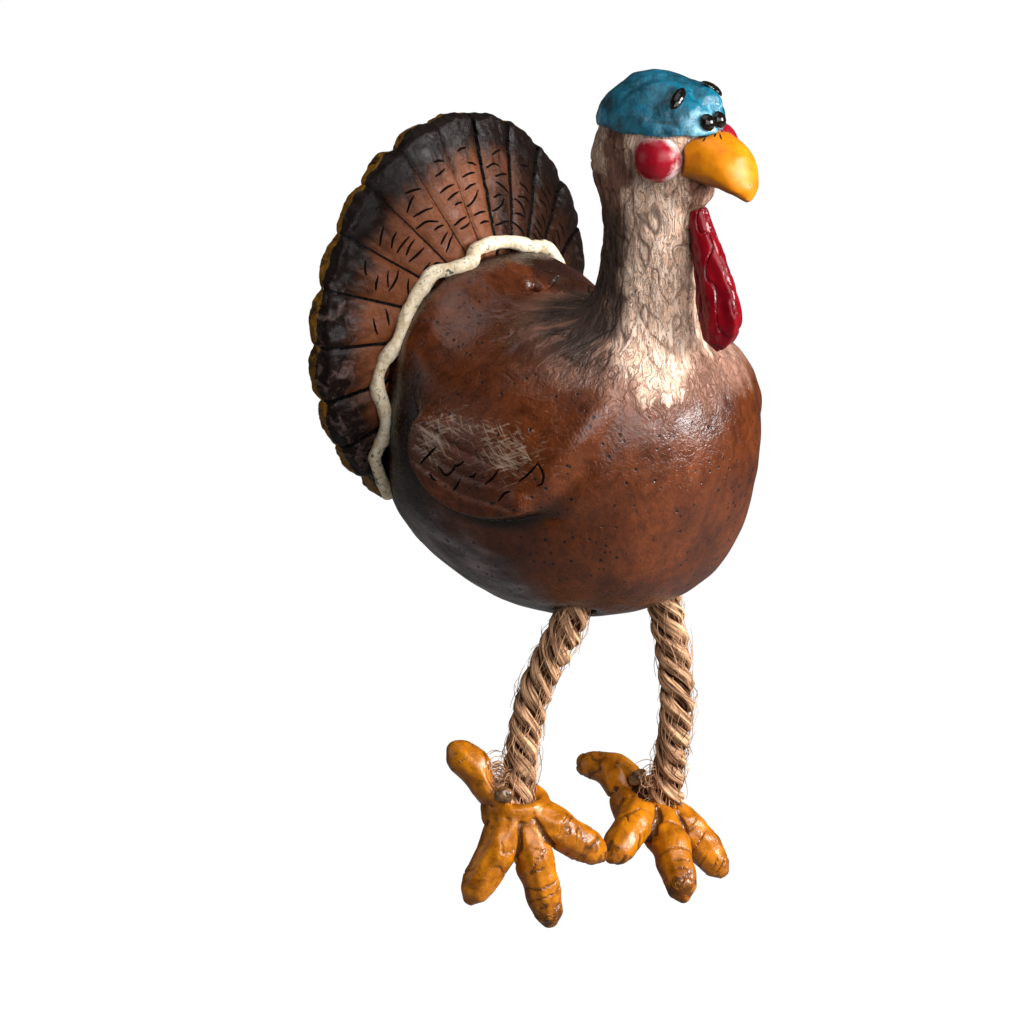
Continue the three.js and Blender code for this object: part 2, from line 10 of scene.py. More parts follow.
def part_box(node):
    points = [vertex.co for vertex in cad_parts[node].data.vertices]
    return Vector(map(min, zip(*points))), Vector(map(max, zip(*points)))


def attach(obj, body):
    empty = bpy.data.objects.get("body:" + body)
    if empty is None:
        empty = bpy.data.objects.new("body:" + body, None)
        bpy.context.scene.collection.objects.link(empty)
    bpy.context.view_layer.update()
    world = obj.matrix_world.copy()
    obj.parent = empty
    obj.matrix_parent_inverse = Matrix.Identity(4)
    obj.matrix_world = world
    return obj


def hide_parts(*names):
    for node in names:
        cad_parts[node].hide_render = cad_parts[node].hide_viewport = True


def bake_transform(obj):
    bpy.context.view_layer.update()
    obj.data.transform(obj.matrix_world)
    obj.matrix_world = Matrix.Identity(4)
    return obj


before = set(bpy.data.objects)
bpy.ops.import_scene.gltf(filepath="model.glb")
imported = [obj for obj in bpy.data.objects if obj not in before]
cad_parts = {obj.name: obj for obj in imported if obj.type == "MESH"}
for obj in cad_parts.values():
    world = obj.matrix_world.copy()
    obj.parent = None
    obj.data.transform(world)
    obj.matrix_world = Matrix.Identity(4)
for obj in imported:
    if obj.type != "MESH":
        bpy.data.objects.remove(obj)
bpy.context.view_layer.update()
scene = bpy.context.scene
scene.view_settings.view_transform = "Standard"


# Camera: a very long lens three metres away, to the bird's front right and a little above it,
# so that the fan, the wing and the face all show and near and far foot come out the same size.
azimuth, elevation = math.radians(-50), math.radians(13)
stand_off, aim_across, aim_up = 2.97, -0.00232, -0.0256
level_part = math.cos(elevation)
back = Vector((math.sin(azimuth) * level_part, -math.cos(azimuth) * level_part, math.sin(elevation)))
right = Vector((math.cos(azimuth), math.sin(azimuth), 0))
up = back.cross(right)
camera = bpy.data.objects.new("camera", bpy.data.cameras.new("camera"))
camera.data.lens = 900
camera.data.sensor_width = 36
camera.location = right * aim_across + up * aim_up + back * stand_off
camera.rotation_euler = back.to_track_quat("Z", "Y").to_euler()
scene.collection.objects.link(camera)
scene.camera = camera


# Studio: a sheet of paper well below the hanging ornament. The main soft box stands far to the right, a broad
# one beside the camera fills the front, and weak ones to the left, overhead and behind lift the shaded sides.
def linear(colour):
    """An sRGB hex colour as linear red, green, blue and alpha."""
    parts = [int(colour[i : i + 2], 16) / 255 for i in (1, 3, 5)]
    return (*[c / 12.92 if c <= 0.04045 else ((c + 0.055) / 1.055) ** 2.4 for c in parts], 1)


def add(tree, kind, inputs=None, **settings):
    """Adds a shader node, or takes a given one, and fills its settings and inputs with values or links."""
    made = kind if isinstance(kind, bpy.types.Node) else tree.nodes.new("ShaderNode" + kind)
    for name, value in settings.items():
        setattr(made, name, value)
    for key, value in (inputs or {}).items():
        if isinstance(value, bpy.types.Node):
            value = next(out for out in value.outputs if out.enabled)
        if isinstance(value, bpy.types.NodeSocket):
            tree.links.new(value, made.inputs[key])
        else:
            made.inputs[key].default_value = value
    return made


floor_half, floor_level = 1.5, -0.16
corners = [(a * floor_half, b * floor_half, floor_level) for a, b in ((-1, -1), (1, -1), (1, 1), (-1, 1))]
floor_mesh = bpy.data.meshes.new("floor")
floor_mesh.from_pydata(corners, [], [(0, 1, 2, 3)])
floor = bpy.data.objects.new("floor", floor_mesh)
scene.collection.objects.link(floor)
# Matt paper: plain white to the camera, a weak bounce on the belly.
sweep = bpy.data.materials.new("matt white paper")
sweep.use_nodes = True
sweep.node_tree.nodes.clear()
ray = add(sweep.node_tree, "LightPath")
share = add(sweep.node_tree, "Math", {0: ray.outputs["Is Camera Ray"], 1: 0.8}, operation="MULTIPLY")
paper = add(sweep.node_tree, "BsdfDiffuse", {"Color": linear("#808080")})
glow = add(sweep.node_tree, "Emission", {"Color": linear("#FFFFFF"), "Strength": 1.25})
both = add(sweep.node_tree, "MixShader", {0: share, 1: paper, 2: glow})
add(sweep.node_tree, "OutputMaterial", {"Surface": both})
floor_mesh.materials.append(sweep)

world = bpy.data.worlds.new("studio")
world.use_nodes = True
world.node_tree.nodes.clear()
ray = add(world.node_tree, "LightPath")
level = add(world.node_tree, "MapRange", {
    "Value": ray.outputs["Is Camera Ray"], "To Min": 0.06, "To Max": 1.0,
})
sky = add(world.node_tree, "Background", {"Color": linear("#FFFFFF"), "Strength": level})
add(world.node_tree, "OutputWorld", {"Surface": sky})
scene.world = world

ornament_middle = Vector((0, -0.008, -0.02))
for name, spot, size, power in (
    ("right_box", right * 0.43 + back * 0.13 + up * 0.09, 0.18, 3.8),
    ("front_box", right * 0.22 + back * 0.38 + up * 0.10, 0.34, 1.85),
    ("left_box", right * -0.42 + back * 0.10 + up * 0.06, 0.30, 0.22),
    ("top_box", back * 0.10 + up * 0.45, 0.34, 0.6),
    ("rear_box", right * -0.28 - back * 0.36 - up * 0.26, 0.30, 0.45),
):
    lamp = bpy.data.lights.new(name, "AREA")
    lamp.size = size
    lamp.energy = power
    box = bpy.data.objects.new(name, lamp)
    box.location = spot
    box.rotation_euler = (spot - ornament_middle).to_track_quat("Z", "Y").to_euler()
    scene.collection.objects.link(box)


# Body: one cast of resin, torso, neck and head in one piece, with the wings modelled on its flanks.
# Brown paint over all; grey wash and painted sheen under the rump, dry cracked cream down the neck, painted
# shade in the hollows.
def ramp(low, high, value):
    """Smooth step from 0 at low to 1 at high."""
    share = np.clip((value - low) / (high - low), 0, 1)
    return share * share * (3 - 2 * share)


def bump(value, width):
    """1 where a value is 0, fading away about two widths to either side."""
    return np.exp(-((value / width) ** 2))


def noise(spots, size, seed):
    """Smooth random field from -1 to 1, with lumps about size across."""
    aslant = np.array(((0.8, 0.36, -0.48), (-0.6, 0.48, -0.64), (0, 0.8, 0.6)))
    primes = np.array((73856093, 19349663, 83492791))
    grid = spots @ aslant / size + seed * 7.31
    low = np.floor(grid).astype(np.int64)
    part = grid - low
    fade = part * part * (3 - 2 * part)
    total = np.zeros(len(spots))
    for corner in np.ndindex(2, 2, 2):
        key = (low + corner) @ primes
        key = ((key ^ (key >> 13)) * 1274126177) & 0x7FFFFFFF
        value = ((key ^ (key >> 16)) & 65535) / 32767.5 - 1
        total += value * np.where(corner, fade, 1 - fade).prod(axis=1)
    return total


def skin(name, nodes, voxel, rounds, melt=0):
    """A fine even mesh over a copy of some solids, smoothed in rounds, with corners melted. Voxel in mm."""
    shape = bmesh.new()
    for node in nodes:
        shape.from_mesh(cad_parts[node].data)
    bmesh.ops.remove_doubles(shape, verts=shape.verts, dist=1e-7)
    mesh = bpy.data.meshes.new(name)
    shape.to_mesh(mesh)
    shape.free()
    piece = bpy.data.objects.new(name, mesh)
    scene.collection.objects.link(piece)
    remesh = piece.modifiers.new("even", "REMESH")
    remesh.mode = "VOXEL"
    remesh.voxel_size = voxel / 1000
    fine = bpy.data.meshes.new_from_object(piece.evaluated_get(bpy.context.evaluated_depsgraph_get()))
    piece.modifiers.clear()
    piece.data = fine
    fine.name = name
    spots = np.empty(3 * len(fine.vertices))
    fine.vertices.foreach_get("co", spots)
    draw_in, let_out = 0.6, -0.615
    spots = eased(piece, spots.reshape(-1, 3) * 1000, [draw_in, let_out] * rounds + [draw_in] * melt)
    return piece, place(piece, spots)


def eased(piece, spots, shares):
    """A piece's points drawn towards the middle of their neighbours, once by each of these shares."""
    count = len(spots)
    ends = np.empty(2 * len(piece.data.edges), int)
    piece.data.edges.foreach_get("vertices", ends)
    here, there = ends.reshape(-1, 2).T
    degree = np.bincount(ends, minlength=count)[:, None]
    for share in shares:
        total = [
            np.bincount(here, axis[there], count) + np.bincount(there, axis[here], count) for axis in spots.T
        ]
        spots = spots + share * (np.stack(total, 1) / degree - spots)
    return spots


def place(piece, spots):
    """Puts a piece's points at these places, in millimetres, and returns its places and its normals."""
    piece.data.vertices.foreach_set("co", (spots / 1000).ravel())
    piece.data.update()
    facing = np.empty(3 * len(spots))
    piece.data.vertex_normals.foreach_get("vector", facing)
    return spots, facing.reshape(-1, 3)


def note(piece, name, values):
    """Keeps a number at each point of a piece for its paint to read."""
    field = piece.data.attributes.new(name, "FLOAT", "POINT")
    field.data.foreach_set("value", np.asarray(values, np.float32))


def from_line(spots, line):
    """Distance from each point to a bent line, in millimetres."""
    nearest = np.full(len(spots), 1e9)
    for start, end in zip(np.array(line[:-1], float), np.array(line[1:], float)):
        along = np.clip((spots - start) @ (end - start) / ((end - start) @ (end - start)), 0, 1)
        nearest = np.minimum(nearest, np.linalg.norm(spots - start - along[:, None] * (end - start), axis=1))
    return nearest


# The tail's front is a shallow cone whose rim stands behind its middle, a little narrower than a circle.
fan_z, fan_radius, fan_rim_y, fan_slope, fan_squeeze = -5.3, 24.4, 11.71, 0.394, 1.0295


def fan_depth(radius):
    """How far back the tail's front lies at a distance from the fan's middle, in millimetres."""
    return fan_rim_y - (fan_radius - radius) * fan_slope


body, (spots, facing) = skin("body", ["body_casting"], voxel=0.23, rounds=80, melt=30)
x, y, z = spots.T
push = np.zeros(len(spots))
# Each wing is a raised oval with a crisp lip behind and below, three scored quills and dry-brushed patches.
# The flank before it has a soft fold, with a crease in front. Places on the wing are from its middle.
wing_y, wing_z, wing_long, wing_tall, wing_rise = -9.2, -14.5, 10.6, 7.5, 2.6
quills = (
    [(9, 2.4), (1.5, 0), (-6, -1.4)],
    [(9.2, 0.2), (2.4, -2.4), (-6.6, -3.6)],
    [(8.4, -1.8), (2, -4.4), (-5, -5.6)],
)
patches = (((6.2, 0.8), (4.0, 3.4), 0.9), ((1.5, 2.8), (5.0, 0.8), 0.45), ((-3.8, 0.3), (4.4, 3.3), 1.0))
wing_brush, wing_lip_shade = np.zeros(len(spots)), np.zeros(len(spots))
for side in (-1, 1):
    aft, high = (y - wing_y) / wing_long, (z - wing_z) / wing_tall
    reach, turn = np.hypot(aft, high), np.arctan2(high, aft)
    lip = ramp(-0.25, 0.4, np.cos(turn + 0.9))
    edge = 0.8 - 0.72 * lip
    flank = ramp(7, 11, side * x)
    push += wing_rise * flank * (1 - ramp(1 - edge, 1 + edge, reach))
    on_wing = np.stack([0 * x, y - wing_y, z - wing_z], 1) + 0.35 * noise(spots, 3, 3)[:, None]
    for quill in quills:
        push -= 0.12 * flank * bump(from_line(on_wing, [(0, a, b) for a, b in quill]), 0.38)
        push += 0.04 * flank * bump(from_line(on_wing, [(0, a, b - 0.75) for a, b in quill]), 0.5)
    fold = [(side * 13.5, -22.5, -7), (side * 15.6, -20.6, -11.4), (side * 18.6, -14.6, -20)]
    crease = [(side * 13.2, -24.2, -9), (side * 14.6, -22.3, -13), (side * 17, -17.2, -20.5)]
    push += 0.55 * flank * bump(from_line(spots, fold), 1.7)
    push -= 0.4 * flank * bump(from_line(spots, crease), 1.3)
    for (centre_y, centre_z), (half_y, half_z), much in patches:
        away = np.hypot((on_wing[:, 1] - centre_y) / half_y, (on_wing[:, 2] - centre_z) / half_z)
        wing_brush += much * flank * bump(away, 1)
    # Painted shade in the hollow under and behind the wing's lip.
    close = 1 - ramp(1.08, 1.3 + 0.3 * ramp(-0.2, 0.8, high), reach)
    wing_lip_shade += flank * lip * ramp(0.96, 1.05, reach) * close
shoulder = [(1, 3, 0.8), (5, 0.4, 0), (8.6, -2.6, -2.2)]
push += 0.9 * bump(from_line(spots, shoulder), 1.2)
# The neck's bark-like grain runs down an upright axis. The turn round it is 0 in front and pi behind.
neck_y, neck_radius = -17.1, 6.5
neck_turn = np.abs(np.arctan2(x, -(y - neck_y)))
neck_out = np.hypot(x, y - neck_y)
neck = ramp(-9, -1, z) * (1 - ramp(16, 19, neck_out))
grain = np.stack([neck_turn * neck_radius, neck_out * 0.35, z * 0.42], 1)
grain = grain + 0.45 * np.stack([noise(grain, 1.1, 8), 0 * z, noise(grain, 1.1, 9)], 1)
bark = 1 - 2 * np.abs(noise(grain, 1.3, 1)) + 0.5 * noise(grain, 0.6, 2)
crack = bump(noise(grain, 1.2, 4), 0.07)
push += neck * (0.15 * bark - 0.2 * crack)
nape_z, nape_half = 18.3, 3.6
push += 0.75 * bump(z - nape_z, nape_half) * ramp(1.3, 2.3, neck_turn)
push += 0.12 * noise(spots, 9, 5) + 0.06 * noise(spots, 2.6, 6)
spots, facing = place(body, spots + facing * push[:, None])
x, y, z = spots.T
# Where the washes and the painted shade lie: hollows are painted dark as shade, and the cream ends in a
# ragged hem low in front and higher behind.
before_fan = fan_depth(np.hypot(x, z - fan_z)) - y
# Painted shade along the tail's root, and in a recess on each flank behind the wing.
fan_seam_shade = ramp(2.6 + 6.5 * ramp(0, 5, x), 0.4, before_fan) * ramp(-30, -24, z) * ramp(-4, -1.5, before_fan)
flank_recess_shade = ramp(-1.5, 3, y) * ramp(12, 9, y) * ramp(9, 13, np.abs(x))
flank_recess_shade *= ramp(-28, -22, z) * (1 - ramp(-9, -4, z))
hip_x, hip_y, hip_z = 8.2, -13, -35.2
from_hip = np.linalg.norm(np.stack([np.abs(x) - hip_x, y - hip_y, z - hip_z]), axis=0)
fringe = noise(np.stack([neck_turn * neck_radius, 0 * z, 0.1 * z], 1), 0.9, 17)
hem = -10.2 + 7.5 * ramp(0.7, 2.5, neck_turn) + 1.2 * noise(spots, 3, 7) + 1.6 * fringe
ragged = neck_turn + 0.22 * noise(spots, 2.6, 14)
bare = (0.25 + 0.35 * ramp(2, 7, z)) * (1 - ramp(0.1, 0.5, ragged)) + 0.9 * ramp(1.0, 1.65, ragged)
bare = np.minimum(bare + 0.1 * ramp(14, 19, z) + 0.5 * ramp(-1, 4, x) * (1 - ramp(-4, 3, z)), 1)
above = 1 - ramp(13.5, 16.5, neck_out)
nape = (0.9 + 0.3 * noise(spots, 2.2, 15)) * ramp(15, 18.5, z) * ramp(1.4, 2.1, neck_turn)
# Painted shade on the far side of the back, beside the neck.
ridge = 0.75 * ramp(0.6, 3.5, x) * ramp(-7, -2, z) * ramp(9, 12, neck_out) * (1 - ramp(10, 14, x))
streak = ramp(-11, -2, z) * (1 - 0.8 * ramp(10, 16, z)) * ramp(0.9, 1.6, ragged)
note(body, "neck", ramp(hem - 4, hem + 3, z) * above)
note(body, "dirt", ramp(hem - 0.5, hem + 4, z) * above)
note(body, "cream", np.maximum(ramp(hem - 4, hem + 10, z) * (1 - bare), nape) * above)
note(body, "crack", neck * crack * ramp(hem - 2, hem + 2, z) * above)
note(body, "streak", streak * (1 - ramp(11, 15.5, neck_out)))
# Grey wash under the rump, and painted sheen where the paint faces down and back.
note(body, "grey_wash_and_sheen", ramp(0.1, 0.45, 0.9 * facing[:, 1] - 0.6 * facing[:, 2]) * (1 - ramp(-26, -21, z)))
# All the painted shade: the tail's root, the flank recesses, under the wing lips, the far side of the back
# and round the leg holes.
sunk = [0.9 * fan_seam_shade, 0.9 * flank_recess_shade, wing_lip_shade, ridge, ramp(4.2, 2.2, from_hip)]
note(body, "painted_shade", np.maximum.reduce(sunk))
note(body, "brush", wing_brush)
note(body, "turn", neck_turn * neck_radius + 0.3 * noise(spots, 1.2, 16))


def coat(name, *pieces):
    """Gives some pieces a new material and returns its node tree, its shader and the place on the object."""
    material = bpy.data.materials.new(name)
    material.use_nodes = True
    for piece in pieces:
        piece.data.materials.append(material)
    tree = material.node_tree
    return tree, tree.nodes["Principled BSDF"], add(tree, "TexCoord").outputs["Object"]


# Satin acrylic over resin: a soft broad sheen that breaks on brush marks, with pin holes and wash, and
# painted shade in the hollows.
# A pattern's scale is 1000 over the width of its lumps in millimetres, as places are in metres.
smooth = {"interpolation_type": "SMOOTHSTEP"}
tree, paint, where = coat("painted cast resin, satin", body)
grey_wash_and_sheen, turned, on_neck, dirt, cream, crack, streak, brush, painted_shade = (
    add(tree, "Attribute", attribute_name=name)
    for name in ("grey_wash_and_sheen", "turn", "neck", "dirt", "cream", "crack", "streak", "brush", "painted_shade")
)
patch = add(tree, "TexNoise", {"Vector": where, "Scale": 1000 / 7, "Detail": 4})
mottle = add(tree, "TexNoise", {
    "Vector": where, "Scale": 1000 / 1.5, "Detail": 6, "Roughness": 0.65, "Distortion": 0.4,
})
blotch = add(tree, "Math", {0: patch, 1: mottle}, operation="MULTIPLY")
blotch = add(tree, "MapRange", {"Value": blotch, "From Min": 0.1, "From Max": 0.42})
colour = add(tree, "Mix", {0: blotch, 6: linear("#361304"), 7: linear("#6E3410")}, data_type="RGBA")
# Purple-grey wash on the rump's underside, wiped along the casting; it is also painted sheen, a reflection of
# the floor on the paint that faces down and back.
wiped = add(tree, "Mapping", {"Vector": where, "Scale": (1.0, 0.25, 0.6)})
wipe = add(tree, "TexNoise", {"Vector": wiped, "Scale": 1000 / 1.8, "Detail": 6, "Roughness": 0.65})
wipe = add(tree, "MapRange", {"Value": wipe, "From Min": 0.36, "From Max": 0.66})
wash = add(tree, "Mix", {0: wipe, 6: linear("#1A1111"), 7: linear("#8C7A78")}, data_type="RGBA")
soft = add(tree, "Math", {0: wipe, 1: 0.7}, operation="ADD")
grey_wash_and_sheen = add(tree, "Math", {0: grey_wash_and_sheen, 1: soft}, operation="MULTIPLY", use_clamp=True)
colour = add(tree, "Mix", {0: grey_wash_and_sheen, 6: colour, 7: wash}, data_type="RGBA")
# Grain that runs down the neck and fans out over the shoulders.
height = add(tree, "SeparateXYZ", {0: where})
turned = add(tree, "Math", {0: turned, 1: 0.001}, operation="MULTIPLY")
fall = add(tree, "Math", {0: height.outputs["Z"], 1: 0.22}, operation="MULTIPLY")
run = add(tree, "CombineXYZ", {0: turned, 2: fall})
fibre = add(tree, "TexNoise", {
    "Vector": run, "Scale": 1000 / 0.9, "Detail": 6, "Roughness": 0.7, "Distortion": 0.6,
})
under = add(tree, "Mix", {0: fibre, 6: linear("#52301F"), 7: linear("#B68068")}, data_type="RGBA")
colour = add(tree, "Mix", {0: dirt, 6: colour, 7: under}, data_type="RGBA")
# Flakes of cream with curled edges, tan where they wore thin, and dark wash run into the cracks.
short = add(tree, "Math", {0: height.outputs["Z"], 1: 0.3}, operation="MULTIPLY")
run = add(tree, "CombineXYZ", {0: turned, 2: short})
flake = add(tree, "TexNoise", {
    "Vector": run, "Scale": 1000 / 0.5, "Detail": 4, "Roughness": 0.6, "Distortion": 1.0,
})
plate = add(tree, "MapRange", {"Value": flake, "From Min": 0.4, "From Max": 0.58}, **smooth)
tan = add(tree, "Mix", {0: mottle, 6: linear("#D8A688"), 7: linear("#F4CEB2")}, data_type="RGBA")
pale = add(tree, "Mix", {0: mottle, 6: linear("#E8C2A8"), 7: linear("#F6DECA")}, data_type="RGBA")
thick = add(tree, "Math", {0: plate, 1: cream}, operation="MULTIPLY")
pale = add(tree, "Mix", {0: thick, 6: tan, 7: pale}, data_type="RGBA")
covers = add(tree, "Math", {0: flake, 1: fibre}, operation="ADD")
covers = add(tree, "Math", {0: covers, 1: 0.5, 2: cream}, operation="MULTIPLY_ADD")
covers = add(tree, "MapRange", {"Value": covers, "From Min": 0.86, "From Max": 1.16}, **smooth)
colour = add(tree, "Mix", {0: covers, 6: colour, 7: pale}, data_type="RGBA")
cracked = crack
for field, level, wide, thin, share in (
    (flake, 0.5, 0.026, 0.008, on_neck),
    (fibre, 0.47, 0.016, 0.004, dirt),
):
    hairline = add(tree, "Math", {0: field, 1: level}, operation="SUBTRACT")
    hairline = add(tree, "Math", {0: hairline}, operation="ABSOLUTE")
    hairline = add(tree, "MapRange", {"Value": hairline, "From Min": wide, "From Max": thin})
    hairline = add(tree, "Math", {0: hairline, 1: share}, operation="MULTIPLY")
    cracked = add(tree, "Math", {0: cracked, 1: hairline}, operation="MAXIMUM")
cracked = add(tree, "Math", {0: cracked, 1: 0.68}, operation="MULTIPLY")
colour = add(tree, "Mix", {0: cracked, 6: colour, 7: linear("#4E2C1A")}, data_type="RGBA")
dark = add(tree, "MapRange", {"Value": fibre, "From Min": 0.80, "From Max": 0.52}, **smooth)
dark = add(tree, "Math", {0: streak, 1: dark}, operation="MULTIPLY")
dark = add(tree, "Math", {0: dark, 1: 0.9}, operation="MULTIPLY")
colour = add(tree, "Mix", {0: dark, 6: colour, 7: linear("#22150D")}, data_type="RGBA")
# Dry brush of pale tan along the wing.
for lean in (0.9, 0.3, -0.4):
    lain = add(tree, "Mapping", {
        "Vector": where, "Scale": (3, 12, 1), "Rotation": (lean, 0, 0),
    }, vector_type="TEXTURE")
    hair = add(tree, "TexNoise", {
        "Vector": lain, "Scale": 1000 / 0.27, "Detail": 3, "Roughness": 0.6, "Distortion": 0.3,
    })
    hair = add(tree, "Math", {0: brush, 1: 0.23, 2: hair}, operation="MULTIPLY_ADD")
    hair = add(tree, "MapRange", {"Value": hair, "From Min": 0.70, "From Max": 0.86}, **smooth)
    hair = add(tree, "Math", {0: hair, 1: 0.6}, operation="MULTIPLY")
    colour = add(tree, "Mix", {0: hair, 6: colour, 7: linear("#B59C86")}, data_type="RGBA")
# Painted shade in the hollows, near black.
colour = add(tree, "Mix", {0: painted_shade, 6: colour, 7: linear("#160C08")}, data_type="RGBA")
# Pin holes left by air bubbles, filled with dark wash.
bubble = add(tree, "TexVoronoi", {"Vector": where, "Scale": 1000 / 1.1, "Randomness": 1})
bubble = add(tree, "MapRange", {"Value": bubble, "From Min": 0.23, "From Max": 0.14}, **smooth)
where_few = add(tree, "TexNoise", {"Vector": where, "Scale": 1000 / 4, "Detail": 2})
where_few = add(tree, "MapRange", {"Value": where_few, "From Min": 0.42, "From Max": 0.53}, **smooth)
bubble = add(tree, "Math", {0: bubble, 1: where_few}, operation="MULTIPLY")
bubble = add(tree, "Math", {0: bubble, 1: dirt}, operation="SUBTRACT", use_clamp=True)
colour = add(tree, "Mix", {0: bubble, 6: colour, 7: linear("#150B07")}, data_type="RGBA")
rough = add(tree, "MapRange", {
    "Value": mottle, "From Min": 0.3, "From Max": 0.7, "To Min": 0.22, "To Max": 0.34,
})
rough = add(tree, "Math", {0: dirt, 1: 0.3, 2: rough}, operation="MULTIPLY_ADD", use_clamp=True)
relief = add(tree, "Math", {0: mottle, 1: bubble}, operation="SUBTRACT")
relief = add(tree, "Bump", {"Strength": 0.33, "Distance": 0.0003, "Height": relief})
scratch = add(tree, "TexNoise", {"Vector": where, "Scale": 1000 / 0.5, "Detail": 3, "Distortion": 1})
relief = add(tree, "Bump", {"Strength": 0.35, "Distance": 0.0002, "Height": scratch, "Normal": relief})
combed = add(tree, "Math", {0: plate, 1: fibre}, operation="ADD")
combed = add(tree, "Math", {0: combed, 1: dirt}, operation="MULTIPLY")
relief = add(tree, "Bump", {"Strength": 0.6, "Distance": 0.0005, "Height": combed, "Normal": relief})
add(tree, paint, {"Base Color": colour, "Roughness": rough, "Normal": relief, "Specular IOR Level": 0.46})
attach(body, "body")
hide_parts("body_casting", "wing_right", "wing_left")


# Head cap: a skin of blue paint laid thick and lumpy over the crown of the casting,
# paler where the brush ran dry at its rear edge and above the bill.
head_middle = np.array((0, -19.3, 21.3))
far_brow = np.mean(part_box("brow_left"), axis=0) * 1000
cap, (spots, facing) = skin("head_cap_paint", ["head_cap"], voxel=0.2, rounds=60, melt=50)
out = spots - head_middle
shown = ramp(0, 0.5, (facing * out).sum(1) / np.linalg.norm(out, axis=1))
small = 0.13 + 0.2 * ramp(-21, -25, spots[:, 1])
push = shown * (0.22 * noise(spots, 2.6, 11) + small * noise(spots, 1.1, 12))
push += 0.7 * shown * bump(np.linalg.norm(spots - far_brow, axis=1), 2.0)
hang = ramp(24.2, 22.6, spots[:, 2]) * (0.35 + 0.4 * noise(spots, 2.2, 13))
spots, facing = place(cap, spots + facing * push[:, None] - np.outer(hang, (0, 0, 1)))
rear_edge = ramp(27, 22.8, spots[:, 2]) * ramp(-18.5, -13, spots[:, 1])
above_bill = ramp(-24.5, -27, spots[:, 1])
note(cap, "worn", np.maximum(rear_edge, 0.8 * above_bill))
# Gloss acrylic: small sharp lights on the lumps, and patches of deep teal where it lies thick.
tree, paint, where = coat("thick blue acrylic, gloss", cap)
lump = add(tree, "TexNoise", {
    "Vector": where, "Scale": 1000 / 3, "Detail": 4, "Roughness": 0.6, "Distortion": 0.8,
})
scrub = add(tree, "TexNoise", {"Vector": where, "Scale": 1000 / 0.8, "Detail": 5, "Roughness": 0.7})
deep = add(tree, "MapRange", {"Value": lump, "From Min": 0.35, "From Max": 0.65})
colour = add(tree, "Mix", {0: deep, 6: linear("#053E4E"), 7: linear("#08728E")}, data_type="RGBA")
worn = add(tree, "Attribute", attribute_name="worn")
worn = add(tree, "Math", {0: worn, 1: scrub}, operation="ADD")
worn = add(tree, "MapRange", {"Value": worn, "From Min": 0.85, "From Max": 1.5}, **smooth)
colour = add(tree, "Mix", {0: worn, 6: colour, 7: linear("#6FA9BC")}, data_type="RGBA")
relief = add(tree, "Bump", {"Strength": 0.5, "Distance": 0.0005, "Height": scrub})
add(tree, paint, {"Base Color": colour, "Roughness": 0.1, "Normal": relief, "Specular IOR Level": 0.6})
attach(cap, "body")
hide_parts("head_cap")


# Bill: a hooked cone of resin glued to the face between the cheeks.
# Painted orange, with smudges, a few specks and painted shade on its underside.
bill, (spots, facing) = skin("bill", ["beak"], voxel=0.18, rounds=100, melt=14)
push = 0.10 * noise(spots, 3.5, 21) + 0.04 * noise(spots, 1.2, 22)
# The tip is drawn down into a hook, with a hollow above it and a notch underneath.
fore = ramp(-31, -35, spots[:, 1])
hook, hollow_z, notch_y = (0, 0.1, 1.5), 19.2, -30
spots = spots - np.outer(ramp(19, 16, spots[:, 2]) * fore, hook)
spots[:, 1] += 1.2 * fore * bump(spots[:, 2] - hollow_z, 2.0)
spots[:, 2] += 0.55 * ramp(-0.1, -0.7, facing[:, 2]) * bump(spots[:, 1] - notch_y, 1.9)
spots, facing = place(bill, spots + facing * push[:, None])
# Painted shade on the bill's underside.
note(bill, "underside_shade", ramp(-0.35, -0.95, facing[:, 2]))
# Satin acrylic: one broad soft light on an even colour, darker where the brush smudged it.
tree, paint, where = coat("orange acrylic, satin", bill)
smudge = add(tree, "TexNoise", {"Vector": where, "Scale": 1000 / 2.2, "Detail": 5, "Roughness": 0.6})
smudge = add(tree, "MapRange", {"Value": smudge, "From Min": 0.35, "From Max": 0.65})
colour = add(tree, "Mix", {0: smudge, 6: linear("#C46E05"), 7: linear("#E88C0E")}, data_type="RGBA")
# Painted shade: darker orange-brown on the underside.
underside_shade = add(tree, "Attribute", attribute_name="underside_shade")
colour = add(tree, "Mix", {0: underside_shade, 6: colour, 7: linear("#6E3D0A")}, data_type="RGBA")
speck = add(tree, "TexVoronoi", {"Vector": where, "Scale": 1000 / 1.6})
speck = add(tree, "MapRange", {"Value": speck, "From Min": 0.10, "From Max": 0.06})
colour = add(tree, "Mix", {0: speck, 6: colour, 7: linear("#5A2E06")}, data_type="RGBA")
fine = add(tree, "TexNoise", {"Vector": where, "Scale": 1000 / 0.7, "Detail": 4})
relief = add(tree, "Bump", {"Strength": 0.15, "Distance": 0.0002, "Height": fine})
add(tree, paint, {"Base Color": colour, "Roughness": 0.38, "Normal": relief, "Specular IOR Level": 0.2})
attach(bill, "body")
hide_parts("beak")


# Wattle: a folded strip hanging under the chin, cast in resin and glued to the neck,
# scored lengthwise with loops and thick with gloss red paint.
wattle, (spots, facing) = skin("wattle_fold", ["wattle"], voxel=0.16, rounds=60)
length = spots * (1, 1, 0.3)
ridge = 1 - np.abs(noise(length, 1.1, 31)) * 2
loop = bump(noise(length, 1.2, 33), 0.1)
push = 0.12 * ridge - 0.16 * loop + 0.05 * noise(spots, 0.9, 32)
place(wattle, spots + facing * push[:, None])
note(wattle, "groove", loop)
